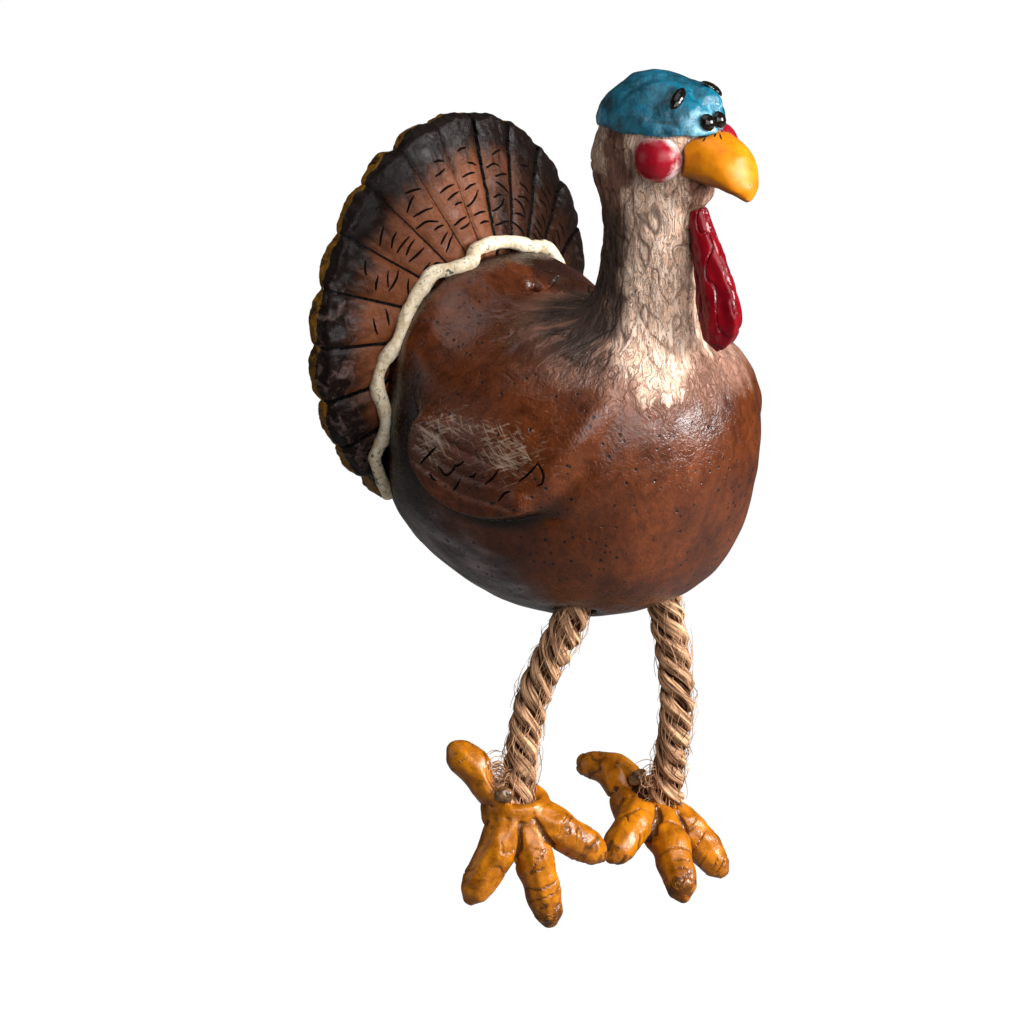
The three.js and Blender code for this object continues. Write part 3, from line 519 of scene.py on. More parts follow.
# High-gloss enamel: wet-looking lights along the ridges, darker red along the grooves.
tree, paint, where = coat("red enamel, high gloss", wattle)
groove = add(tree, "Attribute", attribute_name="groove")
uneven = add(tree, "TexNoise", {"Vector": where, "Scale": 1000 / 2, "Detail": 4})
colour = add(tree, "Mix", {0: uneven, 6: linear("#58040F"), 7: linear("#920A18")}, data_type="RGBA")
groove = add(tree, "Math", {0: groove, 1: 0.45}, operation="MULTIPLY")
colour = add(tree, "Mix", {0: groove, 6: colour, 7: linear("#4E0610")}, data_type="RGBA")
add(tree, paint, {"Base Color": colour, "Roughness": 0.16, "Specular IOR Level": 0.24})
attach(wattle, "body")
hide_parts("wattle")


# Cheeks: two balls of resin glued on beside the bill.
# Painted red, then dry-brushed white round the rim.
cheeks, (spots, facing) = skin("cheeks", ["cheek_right", "cheek_left"], voxel=0.15, rounds=40, melt=12)
spots, facing = place(cheeks, spots + facing * (0.1 + 0.05 * noise(spots, 1.6, 41))[:, None])
side = np.sign(spots[:, 0])
outward = np.stack([0.86 * side, np.full(len(side), -0.45), np.full(len(side), 0.1)], 1)
note(cheeks, "rim", ramp(0.95, 0.4, (facing * outward).sum(1)) * (0.5 + 0.75 * noise(spots, 1.9, 42)))
# Gloss enamel under a dry brush: a clear red middle that breaks up into a chalky rim.
tree, paint, where = coat("red enamel, gloss, dry-brushed white", cheeks)
rim = add(tree, "Attribute", attribute_name="rim")
dab = add(tree, "TexNoise", {"Vector": where, "Scale": 1000 / 0.7, "Detail": 5, "Roughness": 0.7})
colour = add(tree, "Mix", {0: dab, 6: linear("#700614"), 7: linear("#A80E24")}, data_type="RGBA")
white = add(tree, "Math", {0: rim, 1: dab}, operation="ADD")
white = add(tree, "MapRange", {"Value": white, "From Min": 0.7, "From Max": 1.4}, **smooth)
colour = add(tree, "Mix", {0: white, 6: colour, 7: linear("#E2C3BE")}, data_type="RGBA")
relief = add(tree, "Bump", {"Strength": 0.25, "Distance": 0.0002, "Height": dab})
add(tree, paint, {"Base Color": colour, "Roughness": 0.27, "Normal": relief, "Specular IOR Level": 0.3})
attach(cheeks, "body")
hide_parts("cheek_right", "cheek_left")


# Eyes and brows: drops of black gloss paint set down with a stick,
# which dried as beads on the blue cap.
eye_swell, brow_swell, brow_shift = 1.2, 1.3, 0.35
drops = ["eye_right", "eye_left", "brow_right", "brow_left"]
beads, (spots, _) = skin("eyes_and_brows", drops, voxel=0.09, rounds=15)
for node in drops:
    low, high = (np.array(corner) * 1000 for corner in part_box(node))
    own = ((spots > low - 0.1) & (spots < high + 0.1)).all(1)
    middle = (low + high) / 2
    spots[own] = middle + (spots[own] - middle) * (eye_swell if node.startswith("eye") else brow_swell)
    if node == "brow_left":
        spots[own] += brow_shift * (far_brow - head_middle) / np.linalg.norm(far_brow - head_middle)
place(beads, spots)
# High-gloss enamel: hardly any colour, only small hard lights.
tree, paint, where = coat("black enamel, high gloss", beads)
tint = add(tree, "TexNoise", {"Vector": where, "Scale": 1000 / 0.5, "Detail": 3})
colour = add(tree, "Mix", {0: tint, 6: linear("#050505"), 7: linear("#17130F")}, data_type="RGBA")
add(tree, paint, {"Base Color": colour, "Roughness": 0.05, "Specular IOR Level": 0.35})
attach(beads, "body")
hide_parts("eye_right", "eye_left", "brow_right", "brow_left")


# Tail: a fan of flat feathers cast as one plate, each lapping the next, scored between, with a worn rim.
# Red-brown inside, charcoal towards the tips, ochre on the rim's edge and back.
feathers, sweep_arc = 19, math.radians(304)
tip_radius, lower_trim, streak_radius = 24.6, 2, 8
dome, lap, score_depth = 0.25, 0.4, 0.2
fan, (spots, facing) = skin("tail_feathers", ["tail_fan"], voxel=0.22, rounds=22)
x, y, z = spots.T
wide, tall = x * fan_squeeze, z - fan_z
radius, turn = np.hypot(wide, tall), np.arctan2(wide, tall)
row = (turn / sweep_arc + 0.5) * feathers
part = row - np.floor(row)
front = ramp(0.1, -0.3, facing[:, 1])
rear = ramp(-0.1, 0.3, facing[:, 1])
inset = tip_radius - lower_trim * ramp(0.3 * sweep_arc, 0.5 * sweep_arc, np.abs(turn)) - radius
share = np.clip(radius / 24, 0, 1)
gap = np.minimum(part, 1 - part) * radius * sweep_arc / feathers
depth = y - fan_depth(radius)
# Each feather is domed and tilted to lap the next, with a score between and hand-modelled lumps.
move = dome * 4 * part * (1 - part) * share * front
move += (part - 0.5) * lap * share * np.sign(turn) * (front - 0.5 * rear)
move += score_depth * (front - rear) * bump(gap, 0.4)
outer = ramp(9, 3, inset) * ramp(0.4, 1.2, -turn)
move += (0.16 + 0.4 * outer) * noise(spots, 3.2, 51) * front
move += (0.08 + 0.14 * outer) * noise(spots, 1.3, 52) * front
tip = np.stack([wide, 0 * y, tall], 1) / np.maximum(radius, 1)[:, None]
chip = 0.22 * noise(spots, 2.4, 53) + 0.16 * noise(spots, 1.0, 54) + 0.5 * bump(gap, 1.1) - 0.05
chip *= ramp(3, 0.6, inset)
chip -= 0.8 * ramp(0.2, 0.7, -(facing * tip).sum(1)) * ramp(21, 19, radius)
spots, facing = place(fan, spots + np.outer(move, (0, 1, 0)) + tip * chip[:, None])
note(fan, "row", row)
note(fan, "inset", inset)
note(fan, "aside", np.abs(turn))
note(fan, "edge", ramp(0.4, 1.0, depth + 0.4 * noise(spots, 2, 55)) * ramp(4, 2, inset))
note(fan, "round", turn * streak_radius)
# Painted shade in the fan's valley right of its middle, and over the inner right feathers in the shadow of
# the neck.
valley_shade = bump(turn - 0.3, 0.16) * ramp(23, 15, radius)
note(fan, "fold", front * np.maximum(valley_shade, 0.95 * ramp(0.2, 0.6, turn) * ramp(25, 20, radius)))
# Satin acrylic, thin and uneven: weak small lights on the lumps, and brush streaks that run from red-brown
# to charcoal between black score lines.
streaks_per_mm = 2.2
tree, paint, where = coat("painted resin feathers, satin", fan)
row_at, inset_at, aside, rim_at, round_at = (
    add(tree, "Attribute", attribute_name=name).outputs["Fac"]
    for name in ("row", "inset", "aside", "edge", "round")
)
mottle = add(tree, "TexNoise", {
    "Vector": where, "Scale": 1000 / 1.6, "Detail": 6, "Roughness": 0.65, "Distortion": 1,
})
drawn_out = add(tree, "Math", {0: inset_at, 1: 0.14}, operation="MULTIPLY")
brushed = add(tree, "CombineXYZ", {0: round_at, 1: drawn_out})
vane = add(tree, "TexNoise", {"Vector": brushed, "Scale": streaks_per_mm, "Detail": 5, "Roughness": 0.65})
colour = add(tree, "Mix", {0: mottle, 6: linear("#40200F"), 7: linear("#925638")}, data_type="RGBA")
slate = add(tree, "Mix", {0: vane, 6: linear("#060403"), 7: linear("#221713")}, data_type="RGBA")
depth = add(tree, "MapRange", {
    "Value": aside, "From Min": 0.5, "From Max": 1.7, "To Min": 5.2, "To Max": 4.6,
})
depth = add(tree, "Math", {0: depth, 1: inset_at}, operation="SUBTRACT")
depth = add(tree, "Math", {0: vane, 1: 6.0, 2: depth}, operation="MULTIPLY_ADD")
tips = add(tree, "MapRange", {"Value": depth, "From Min": 0.8, "From Max": 5.6}, **smooth)
colour = add(tree, "Mix", {0: tips, 6: colour, 7: slate}, data_type="RGBA")
# Pale patches on the outer feathers: dust, and painted sheen where light glances off the tips.
dust_and_sheen = add(tree, "MapRange", {"Value": aside, "From Min": 0.5, "From Max": 1.3})
dust_and_sheen = add(tree, "Math", {0: dust_and_sheen, 1: mottle}, operation="MULTIPLY")
dust_and_sheen = add(tree, "MapRange", {"Value": dust_and_sheen, "From Min": 0.5, "From Max": 0.72}, **smooth)
dust_and_sheen = add(tree, "Math", {0: dust_and_sheen, 1: tips}, operation="MULTIPLY")
colour = add(tree, "Mix", {0: dust_and_sheen, 6: colour, 7: linear("#5C4844")}, data_type="RGBA")
# Black line along each score.
score = add(tree, "Math", {0: row_at, 1: 0.5}, operation="ADD")
score = add(tree, "Math", {0: score}, operation="FRACT")
score = add(tree, "Math", {0: score, 1: 0.5}, operation="SUBTRACT")
score = add(tree, "Math", {0: score}, operation="ABSOLUTE")
out_by = add(tree, "Math", {0: 24.0, 1: inset_at}, operation="SUBTRACT")
score = add(tree, "Math", {0: score, 1: out_by}, operation="MULTIPLY")
score = add(tree, "MapRange", {"Value": score, "From Min": 0.85, "From Max": 0.45}, **smooth)
colour = add(tree, "Mix", {0: score, 6: colour, 7: linear("#080504")}, data_type="RGBA")
gilt = add(tree, "Mix", {0: mottle, 6: linear("#2A1806"), 7: linear("#9C6C20")}, data_type="RGBA")
# Painted shade in the fan's valley, near black.
fold = add(tree, "Attribute", attribute_name="fold")
fold = add(tree, "Math", {0: fold, 1: 0.94}, operation="MULTIPLY")
colour = add(tree, "Mix", {0: fold, 6: colour, 7: linear("#0E0705")}, data_type="RGBA")
rim_worn = add(tree, "Math", {0: rim_at, 1: mottle}, operation="ADD")
rim_worn = add(tree, "MapRange", {"Value": rim_worn, "From Min": 1.32, "From Max": 1.52}, **smooth)
colour = add(tree, "Mix", {0: rim_worn, 6: colour, 7: gilt}, data_type="RGBA")
rough = add(tree, "MapRange", {
    "Value": mottle, "From Min": 0.3, "From Max": 0.7, "To Min": 0.18, "To Max": 0.36,
})
relief = add(tree, "Bump", {"Strength": 0.6, "Distance": 0.0004, "Height": mottle})
relief = add(tree, "Bump", {"Strength": 0.3, "Distance": 0.0002, "Height": vane, "Normal": relief})
add(tree, paint, {"Base Color": colour, "Roughness": rough, "Normal": relief, "Specular IOR Level": 0.1})
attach(fan, "body")
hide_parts("tail_fan")


# Band: a wavy hand-rolled bead along the tail's root, cast in resin and glued on where fan and body meet.
# Painted cream, with grey-green wash caught in its nicks.
def through(points, steps):
    """A smooth line through some points, in millimetres."""
    points = np.array(points, float)
    points = np.vstack([2 * points[0] - points[1], points, 2 * points[-1] - points[-2]])
    line = []
    gaps = np.sqrt(np.linalg.norm(np.diff(points, axis=0), axis=1))
    for before, here, there, after, gap_in, gap, gap_out in zip(
        points, points[1:], points[2:], points[3:], gaps, gaps[1:], gaps[2:]
    ):
        leave = ((here - before) / gap_in - (there - before) / (gap_in + gap) + (there - here) / gap) * gap
        arrive = ((there - here) / gap - (after - here) / (gap + gap_out) + (after - there) / gap_out) * gap
        for t in np.linspace(0, 1, steps, endpoint=False):
            line.append(
                (2 * t**3 - 3 * t**2 + 1) * here + (t**3 - 2 * t**2 + t) * leave
                + (3 * t**2 - 2 * t**3) * there + (t**3 - t**2) * arrive
            )
    return np.array([*line, points[-2]])


def carried(line):
    """Two directions square to a line at each of its points, turning as little as they can."""
    ahead = np.gradient(line, axis=0)
    ahead /= np.linalg.norm(ahead, axis=1)[:, None]
    across = np.cross(ahead[0], (0.3, 0.9, 0.2))
    sides = []
    for tangent in ahead:
        across = across - tangent * (across @ tangent)
        across /= np.linalg.norm(across)
        sides.append(across)
    sides = np.array(sides)
    return sides, np.cross(ahead, sides)


def tube(line, radii, sides):
    """Points and faces of a tube along a line, with one row of radii, round the tube, for each point."""
    across, over = carried(line)
    turn = np.linspace(0, 2 * math.pi, sides, endpoint=False)
    ring = np.cos(turn)[None, :, None] * across[:, None] + np.sin(turn)[None, :, None] * over[:, None]
    points = (line[:, None] + ring * radii[:, :, None]).reshape(-1, 3)
    faces = [
        (i * sides + k, i * sides + (k + 1) % sides, (i + 1) * sides + (k + 1) % sides, (i + 1) * sides + k)
        for i in range(len(line) - 1)
        for k in range(sides)
    ]
    return points, faces


def joined(name, shells):
    """One smooth-shaded piece from some shells, each with its points, in millimetres, and its faces."""
    first, all_points, all_faces = 0, [], []
    for points, faces, *_ in shells:
        all_points.append(points)
        all_faces += [tuple(v + first for v in face) for face in faces]
        first += len(points)
    mesh = bpy.data.meshes.new(name)
    mesh.from_pydata((np.vstack(all_points) / 1000).tolist(), [], all_faces)
    mesh.shade_smooth()
    piece = bpy.data.objects.new(name, mesh)
    scene.collection.objects.link(piece)
    return piece


def on_fan(radius, turn, lift=0):
    """A place on the tail's front, or a lift before it, at a distance and a turn about the fan's middle."""
    return radius * math.sin(turn) / fan_squeeze, fan_depth(radius) - lift, radius * math.cos(turn) + fan_z


# The bead's turns about the fan's middle, in radians, and how far out it wanders at each.
waves = (
    (-2.5, 0.2), (-2.36, 0.5), (-2.23, 0.7), (-2.1, -0.6), (-1.97, -0.6), (-1.8, 0.3),
    (-1.67, 0.3), (-1.5, -0.5), (-1.3, -0.2), (-1.1, -0.1), (-0.88, 0.2), (-0.7, -0.6),
    (-0.5, -0.6), (-0.34, 0.2), (-0.09, 0.5), (0.24, 0.3), (0.65, -0.5), (1.03, 0.5),
    (1.3, -0.5), (1.55, 0.4), (1.8, -0.5), (2.05, 0.5), (2.25, -0.4), (2.45, 0.3),
)
bead_radius, bead_sides = 0.85, 20
crown, spread, flattened = 10.2, 8.6, 0.5
route = []
for turn, wave in waves:
    radius = math.hypot(crown, spread * abs(turn) ** 0.92) - flattened * bump(turn, 0.7) + wave
    route.append(on_fan(radius, turn, 0.45 - 0.8 * min(wave, 0)))
line = through(route, 14)
points, faces = tube(line, np.full((len(line), bead_sides), bead_radius), bead_sides)
count = len(points)
faces += [tuple(range(bead_sides)), tuple(range(count - 1, count - 1 - bead_sides, -1))]
band = joined("tail_bead", [(points, faces)])
spots, facing = place(band, points)
push = 0.24 * noise(spots, 2.2, 61) + 0.12 * noise(spots, 0.9, 62)
place(band, spots + facing * push[:, None])
# Matt acrylic: chalky cream, yellower in the dips, with flecks of wash.
tree, paint, where = coat("cream acrylic, matt", band)
nick = add(tree, "TexNoise", {
    "Vector": where, "Scale": 1000 / 1.1, "Detail": 4, "Roughness": 0.6, "Distortion": 1.5,
})
streaky = add(tree, "MapRange", {"Value": nick, "From Min": 0.35, "From Max": 0.6})
colour = add(tree, "Mix", {0: streaky, 6: linear("#D8BE94"), 7: linear("#F6E8CE")}, data_type="RGBA")
stain = add(tree, "TexNoise", {
    "Vector": where, "Scale": 1000 / 0.9, "Detail": 3, "Roughness": 0.5, "Distortion": 2,
})
stain = add(tree, "MapRange", {"Value": stain, "From Min": 0.61, "From Max": 0.67}, **smooth)
colour = add(tree, "Mix", {0: stain, 6: colour, 7: linear("#5F6658")}, data_type="RGBA")
relief = add(tree, "Bump", {"Strength": 0.4, "Distance": 0.0003, "Height": nick})
add(tree, paint, {"Base Color": colour, "Roughness": 0.5, "Normal": relief})
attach(band, "body")
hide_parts("tail_band")


# Marks: short strokes of black paint, drawn with a fine brush across the tail feathers and on the wings,
# and a few lashes where the bill meets the cap.
def mark(points, onto, towards, wide=0.17, sunk=0.05, far_off=40):
    """A brush stroke through some points, laid on a surface as seen along a direction, in millimetres."""
    line = []
    for spot in through(points, 5):
        hit = onto.ray_cast(Vector(spot - far_off * np.array(towards)) / 1000, Vector(towards))
        if hit[0] is not None:
            line.append(np.array(hit[0] - hit[1] * sunk / 1000) * 1000)
    if len(line) < 4:
        return np.zeros((0, 3)), []
    line = np.array(line)
    thick = wide * (1 - 0.5 * np.abs(np.linspace(-0.8, 1, len(line))) ** 2)
    return tube(line, np.repeat(thick[:, None], 6, axis=1), 6)


random = np.random.default_rng(3)
strokes = []
graph = bpy.context.evaluated_depsgraph_get()
onto_fan = BVHTree.FromObject(fan, graph)
# The two lowest feathers on each side carry no strokes, and those near the top carry the most.
for feather in range(2, feathers - 2):
    middle = ((feather + 0.5) / feathers - 0.5) * sweep_arc
    near, far, step, skipped = (12.6, 20.6, 1.3, 0.12) if abs(middle) < 1.3 else (16.5, 20.0, 2.0, 0.5)
    for radius in np.arange(near, far, step):
        radius += random.uniform(-0.4, 0.4)
        if random.random() < skipped:
            continue
        shift, half = random.uniform(-0.9, 0.9), random.uniform(0.7, 1.5)
        tilt, hook = random.uniform(-0.45, 0.45), random.uniform(-0.9, 0.9)
        points = []
        for t, lift in ((-1, 0), (0, 0.1), (1, hook * (random.random() < 0.4))):
            points.append(on_fan(radius + tilt * half * t + lift, middle + (shift + half * t) / radius))
        strokes.append(mark(points, onto_fan, (0, 1, 0)))
# Strokes on the wing, as places along y and z.
wing_strokes = (
    [(-1.2, -16.6), (-2.6, -15.2), (-3.6, -14.2)],
    [(-4.0, -16.4), (-5.2, -17.3), (-6.2, -16.6), (-6.6, -15.8)],
    [(-6.6, -16), (-7.2, -15.8), (-7.9, -15.2)],
    [(-6.2, -19), (-6.9, -18.2), (-7.4, -17.4)],
    [(-10.8, -17.6), (-12, -16.6), (-12.6, -15.6)],
    [(-12.6, -19.4), (-13.6, -18.3), (-14.3, -18)],
    [(-15.2, -16.8), (-16.4, -15.6), (-17.2, -14.4)],
    [(-17.2, -14.6), (-17.9, -15.6), (-17.8, -16.8), (-17.2, -17.2)],
    [(-2.6, -17.6), (-3.2, -18.1), (-3.6, -18.2)],
    [(-8.6, -17), (-9.2, -16.9), (-9.6, -16.4)],
)
onto_body = BVHTree.FromObject(body, graph)
for side in (-1, 1):
    for drawn in wing_strokes:
        strokes.append(mark([(side * 20, a, b) for a, b in drawn], onto_body, (-side, 0, 0)))
# Lashes on the bill, each as a place across and up the picture and a lean.
lashes = ((19.4, 18.1, 0.2), (19.9, 17.4, 0.7), (20.5, 18.2, -0.2), (21.1, 17.9, 0.4), (21.7, 17.6, -0.3))
onto_bill = BVHTree.FromObject(bill, graph)
for across, over, lean in lashes:
    lash = [np.array(right * (across + lean * t) + up * (over + t)) for t in (-0.35, 0, 0.35)]
    strokes.append(mark(lash, onto_bill, -back, 0.13))
marks = joined("brush_marks", strokes)
# Thin matt acrylic: flat black like ink, with no sheen.
tree, paint, where = coat("black acrylic, thin", marks)
thin = add(tree, "TexNoise", {"Vector": where, "Scale": 1000 / 0.6, "Detail": 3})
colour = add(tree, "Mix", {0: thin, 6: linear("#040202"), 7: linear("#120A07")}, data_type="RGBA")
add(tree, paint, {"Base Color": colour, "Roughness": 0.8, "Specular IOR Level": 0.03})
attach(marks, "body")


# Legs: three-strand jute rope glued into the belly and the feet. Each is one rope, in two pieces that meet
# half-way down with a small overlap.
rope_radius, strand_radius, lay = 1.98, 0.9, 7.8
strands, yarns, strand_sides, overlap = 3, 5, 26, 0.3
stray_hairs, hair_radius, fray_radius = 230, 0.055, 0.065
right_route = [
    (-7.807, -14.701, -31.569), (-8.2, -13, -35.168), (-9.4, -7.8, -46.168),
    (-11, -7.2, -55.068), (-11.459, -7.028, -57.622), (-11.75, -6.92, -59.2),
]
left_route = [
    (7.880, -12.584, -31.203), (8.2, -13, -35.168), (9.2, -14.3, -47.568),
    (11, -11.4, -58.468), (11.410, -10.740, -60.949), (11.66, -10.33, -62.5),
]
fields = ("lengthwise", "crosswise", "outward")
random = np.random.default_rng(7)
ropes = []
for leg, route, fray in (("right", right_route, 90), ("left", left_route, 22)):
    core = through(route, 34)
    along = np.concatenate([[0], np.cumsum(np.linalg.norm(np.diff(core, axis=0), axis=1))])
    across, over = carried(core)
    half = along[-1] * 0.5
    parts = {"upper": [], "lower": []}
    turn = np.linspace(0, 2 * math.pi, strand_sides, endpoint=False)
    for strand in range(strands):
        twist = -2 * math.pi * along / lay + strand * 2 * math.pi / strands
        sway = 1 + 0.1 * np.sin(along * 1.3 + 2 * strand) + 0.06 * ramp(0.8, 0.95, along / along[-1])
        outward = np.cos(twist)[:, None] * across + np.sin(twist)[:, None] * over
        line = core + outward * ((rope_radius - strand_radius) * sway)[:, None]
        wander = 1.6 * np.sin(0.55 * along[:, None] + 2.1 * strand + turn[None])
        yarn = np.cos(yarns * turn[None] + along[:, None] * 1.3 + strand + wander)
        radii = strand_radius * (1 + 0.13 * yarn + 0.09 * np.sin(along * 2.1 + strand * 1.9)[:, None])
        points, faces = tube(line, radii, strand_sides)
        lengthwise = np.repeat(along, strand_sides)
        crosswise = np.tile(turn, len(along)) * strand_radius + lengthwise * 0.18 + 11 * strand
        from_core = np.linalg.norm(points - np.repeat(core, strand_sides, axis=0), axis=1) / rope_radius
        from_core -= 0.13 * ramp(-0.3, -1, yarn.ravel())
        for name, keep in (("upper", along <= half), ("lower", along >= half - overlap)):
            rings = np.nonzero(keep)[0]
            first, last = rings[0] * strand_sides, rings[-1] * strand_sides
            kept = [tuple(v - first for v in face) for face in faces[first:last]]
            span = slice(first, last + strand_sides)
            parts[name].append((points[span], kept, lengthwise[span], crosswise[span], from_core[span]))
    for hair in range(stray_hairs + fray):
        frayed = hair >= stray_hairs
        spot = random.uniform(0.56, 0.71) if frayed else random.uniform(0.1, 0.75)
        i = int(spot * (len(core) - 1))
        turn = random.uniform(0, 2 * math.pi)
        outward = math.cos(turn) * across[i] + math.sin(turn) * over[i]
        if frayed:
            forward, rise = random.uniform(-0.3, 0.9), random.uniform(-0.3, 0.3)
            outward = np.array(-right * 0.75 + back * forward + up * rise)
            outward /= np.linalg.norm(outward)
        ahead = (core[min(i + 1, len(core) - 1)] - core[i - 1]) * random.choice((-1, 1))
        ahead /= np.linalg.norm(ahead)
        aside = np.cross(ahead, outward)
        reach, lift = random.uniform(2.0, 5.0), random.uniform(0.16, 0.8)
        curl, arch = random.uniform(-1.6, 1.6), random.uniform(1.6, 3.0)
        t = np.linspace(0, 1, 9)[:, None]
        if frayed:
            swing, bow = t * random.uniform(2.5, 5.5), random.uniform(0.5, 1.5)
            out = rope_radius * 0.8 + bow * (1 - np.cos(swing))
            line = core[i] + outward * out + ahead * bow * np.sin(swing) + aside * curl * t
        else:
            out = rope_radius * 0.85 + lift * np.sin(t * arch)
            line = core[i] + outward * out + ahead * reach * t + aside * curl * t**2
        thick = (fray_radius if frayed else hair_radius) * (1 - 0.5 * t)
        points, faces = tube(line, np.repeat(thick, 4, axis=1), 4)
        fixed = np.full(len(points), random.uniform(0, 40))
        name = "upper" if along[i] < half else "lower"
        parts[name].append((points, faces, fixed, fixed * 1.7, np.full(len(points), 1.1)))
    belly, ankle, middle = route[1], route[3], core[np.argmin(np.abs(along - half))]
    for name, bodies, start, end in (
        ("upper", ("body", f"{leg}_leg"), belly, middle),
        ("lower", (f"{leg}_leg", f"{leg}_foot"), middle, ankle),
    ):
        rope = joined(f"{leg}_rope_{name}", parts[name])
        for index, field in enumerate(fields, 2):
            note(rope, field, np.concatenate([part[index] for part in parts[name]]))
        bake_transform(rope)
        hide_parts(f"{leg}_leg_rope")
        ropes.append(rope)
# Dry jute: no sheen, pale fibres over brown shadow between the yarns. The fibres, and the stray hairs too,
# are drawn coarser than real ones, which are too fine to show.
fibres_per_mm = 4.5
tree, paint, _ = coat("natural jute, dry", *ropes)
length_at, cross_at, out_at = (add(tree, "Attribute", attribute_name=name).outputs["Fac"] for name in fields)
drawn_out = add(tree, "Math", {0: length_at, 1: 0.09}, operation="MULTIPLY")
run = add(tree, "CombineXYZ", {0: cross_at, 1: drawn_out})
fibre = add(tree, "TexNoise", {"Vector": run, "Scale": fibres_per_mm, "Detail": 5, "Roughness": 0.7})
tone = add(tree, "MapRange", {"Value": fibre, "From Min": 0.39, "From Max": 0.62})
colour = add(tree, "Mix", {0: tone, 6: linear("#421A05"), 7: linear("#FAC496")}, data_type="RGBA")
deep = add(tree, "MapRange", {"Value": out_at, "From Min": 0.97, "From Max": 0.64}, **smooth)
colour = add(tree, "Mix", {0: deep, 6: colour, 7: linear("#301204")}, data_type="RGBA")
relief = add(tree, "Bump", {"Strength": 0.7, "Distance": 0.0002, "Height": fibre})
add(tree, paint, {"Base Color": colour, "Roughness": 0.75, "Normal": relief, "Specular IOR Level": 0.12})


# Feet: hand-rolled toes on a hub, cast in resin, with a hole on top that the rope is glued into.
# Painted ochre, with brown wash in the wrinkles and at the tips, and brown wash with painted shade in the
# creases where the toes meet.
feet = []
hind_aim = np.array((-0.35, 0.75, 0.55))
for leg, hub, rope_end, bent in (
    ("right", (-11.5, -7.2, -58.47), (-11.46, -7.03, -57.6), 0),
    ("left", (10.2, -8.4, -62.07), (11.41, -10.74, -60.9), 2.2),
):
    # The hind toe of the left foot droops, and the hub's rim round the rope is low in front.
    foot, (spots, facing) = skin(f"{leg}_foot_toes", [f"{leg}_foot"], voxel=0.22, rounds=30)
    out = np.linalg.norm(spots - hub, axis=1)
    hind = ramp(0.2, 0.7, (spots - hub) @ hind_aim / np.maximum(out, 1))
    spots = spots + 0.1 * facing - np.outer(bent * hind * ramp(5, 12, out), (0, 0, 1))
    above = spots - rope_end
    beside = np.hypot(above[:, 0], above[:, 1])
    dip = np.maximum(above[:, 2] + 0.3, 0) * 0.85 * (1 - ramp(4, 6, above[:, 2]))
    dip *= (1 - ramp(2.0, 5.5, beside)) * ramp(-2.2, 1.4, above @ np.array(back))
    spots, facing = place(foot, spots - np.outer(dip, (0, 0, 1)))
    # Wrinkles and knuckles lie across each toe, and creases where the toes meet are painted brown as wash and
    # shade.
    out = np.linalg.norm(spots - hub, axis=1)
    aim = (spots - hub) / np.maximum(out, 1)[:, None]
    lines = np.stack([out, 2.6 * aim[:, 0], 2.6 * (aim[:, 1] + aim[:, 2])], 1)
    lines += 0.35 * noise(spots, 1.5, 72)[:, None]
    wrinkle = bump(noise(lines, 0.95, 71), 0.1) * ramp(-0.2, 0.2, noise(spots, 1.5, 73)) * ramp(5, 7, out)
    knuckle = np.cos(1.5 * out + 5 * noise(aim, 0.6, 76)) * ramp(4, 6, out)
    sunk = ((eased(foot, spots, [0.6] * 45) - spots) * facing).sum(1)
    crotch = ramp(*np.percentile(sunk, (86, 95)), sunk) * ramp(-0.9, -0.2, noise(spots, 1.3, 77))
    push = 0.14 * noise(spots, 3, 74) + 0.06 * noise(spots, 1.1, 75)
    push += 0.08 * knuckle - 0.14 * wrinkle - 0.3 * crotch
    place(foot, spots + facing * push[:, None])
    note(foot, "wrinkle", np.maximum(wrinkle, crotch))
    note(foot, "tip", ramp(10.6, 13.6, out))
    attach(foot, f"{leg}_foot")
    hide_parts(f"{leg}_foot")
    feet.append(foot)
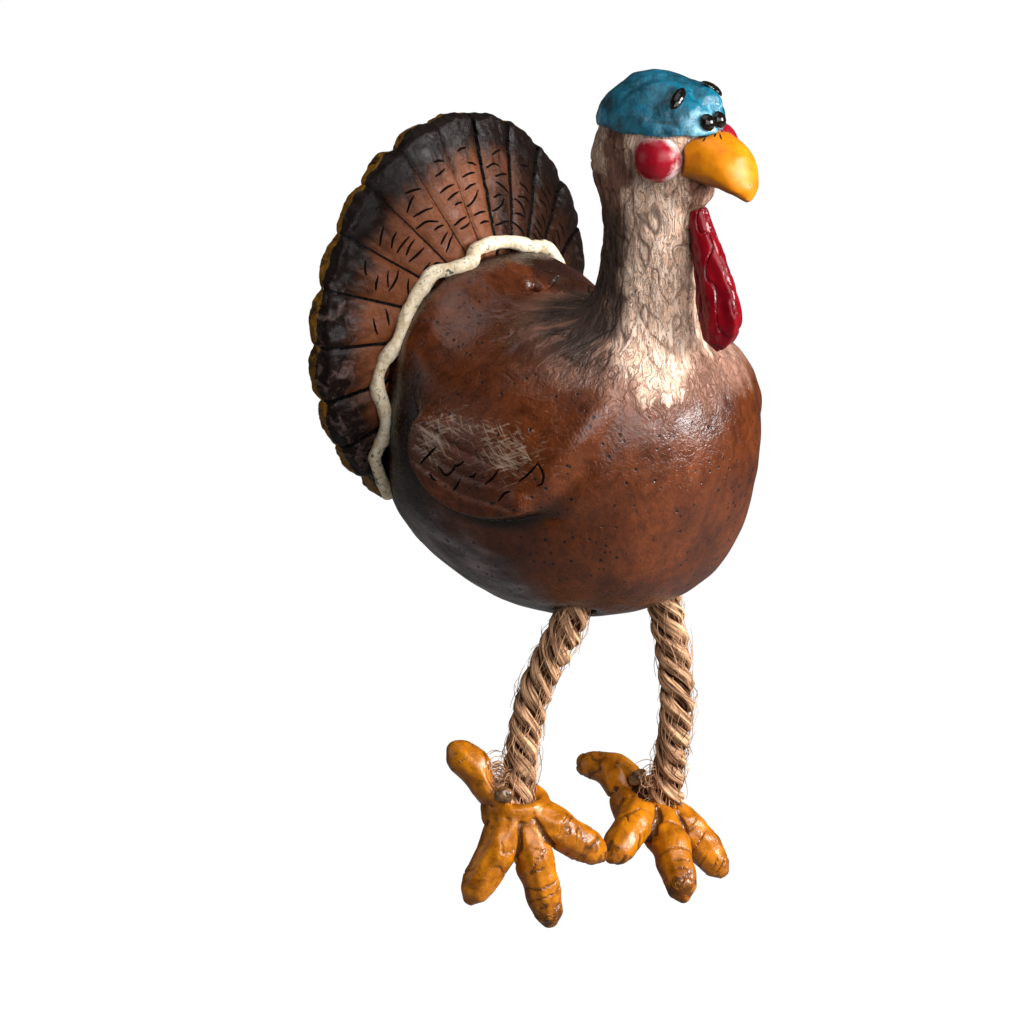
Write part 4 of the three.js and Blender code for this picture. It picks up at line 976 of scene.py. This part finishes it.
# Gloss acrylic under wash: hard lights on the knuckles, brown lines in the wrinkles, painted shade where the
# toes meet.
tree, paint, where = coat("ochre acrylic, glossy, brown wash", *feet)
cloud = add(tree, "TexNoise", {
    "Vector": where, "Scale": 1000 / 2.5, "Detail": 5, "Roughness": 0.65, "Distortion": 0.6,
})
warm = add(tree, "MapRange", {"Value": cloud, "From Min": 0.3, "From Max": 0.65})
colour = add(tree, "Mix", {0: warm, 6: linear("#7C4004"), 7: linear("#C8780C")}, data_type="RGBA")
wrinkle_at = add(tree, "Attribute", attribute_name="wrinkle").outputs["Fac"]
tip_at = add(tree, "Attribute", attribute_name="tip").outputs["Fac"]
stain = add(tree, "TexNoise", {"Vector": where, "Scale": 1000 / 1.4, "Detail": 4, "Roughness": 0.7})
tip_at = add(tree, "Math", {0: tip_at, 1: 0.22, 2: stain}, operation="MULTIPLY_ADD")
stain = add(tree, "MapRange", {"Value": tip_at, "From Min": 0.57, "From Max": 0.76}, **smooth)
stain = add(tree, "Math", {0: stain, 1: wrinkle_at}, operation="MAXIMUM")
stain = add(tree, "Math", {0: stain, 1: 0.85}, operation="MULTIPLY", use_clamp=True)
colour = add(tree, "Mix", {0: stain, 6: colour, 7: linear("#40220A")}, data_type="RGBA")
relief = add(tree, "Bump", {"Strength": 0.45, "Distance": 0.0004, "Height": cloud})
add(tree, paint, {"Base Color": colour, "Roughness": 0.24, "Normal": relief, "Specular IOR Level": 0.35})


# Glue: a blob of hot glue squeezed out where each rope enters its foot,
# hardened cloudy with dirt in it.
blobs, glue_share, glue_sag = [], 0.6, 0.5
for leg in ("right", "left"):
    blob, (spots, facing) = skin(f"{leg}_glue_blob", [f"{leg}_foot_glue"], voxel=0.14, rounds=15)
    spots = spots.mean(0) + (spots - spots.mean(0)) * glue_share - (0, 0, glue_sag)
    push = 0.3 * noise(spots, 1.5, 81) + 0.12 * noise(spots, 0.6, 82)
    place(blob, spots + facing * push[:, None])
    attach(blob, f"{leg}_foot")
    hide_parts(f"{leg}_foot_glue")
    blobs.append(blob)
# Hot-melt glue: glassy lights on a cloudy brown.
tree, paint, where = coat("hot-melt glue, cloudy", *blobs)
murk = add(tree, "TexNoise", {"Vector": where, "Scale": 1000 / 0.9, "Detail": 4})
murk = add(tree, "MapRange", {"Value": murk, "From Min": 0.35, "From Max": 0.65})
colour = add(tree, "Mix", {0: murk, 6: linear("#4E2F14"), 7: linear("#94704A")}, data_type="RGBA")
add(tree, paint, {"Base Color": colour, "Roughness": 0.12, "Coat Weight": 0.5})
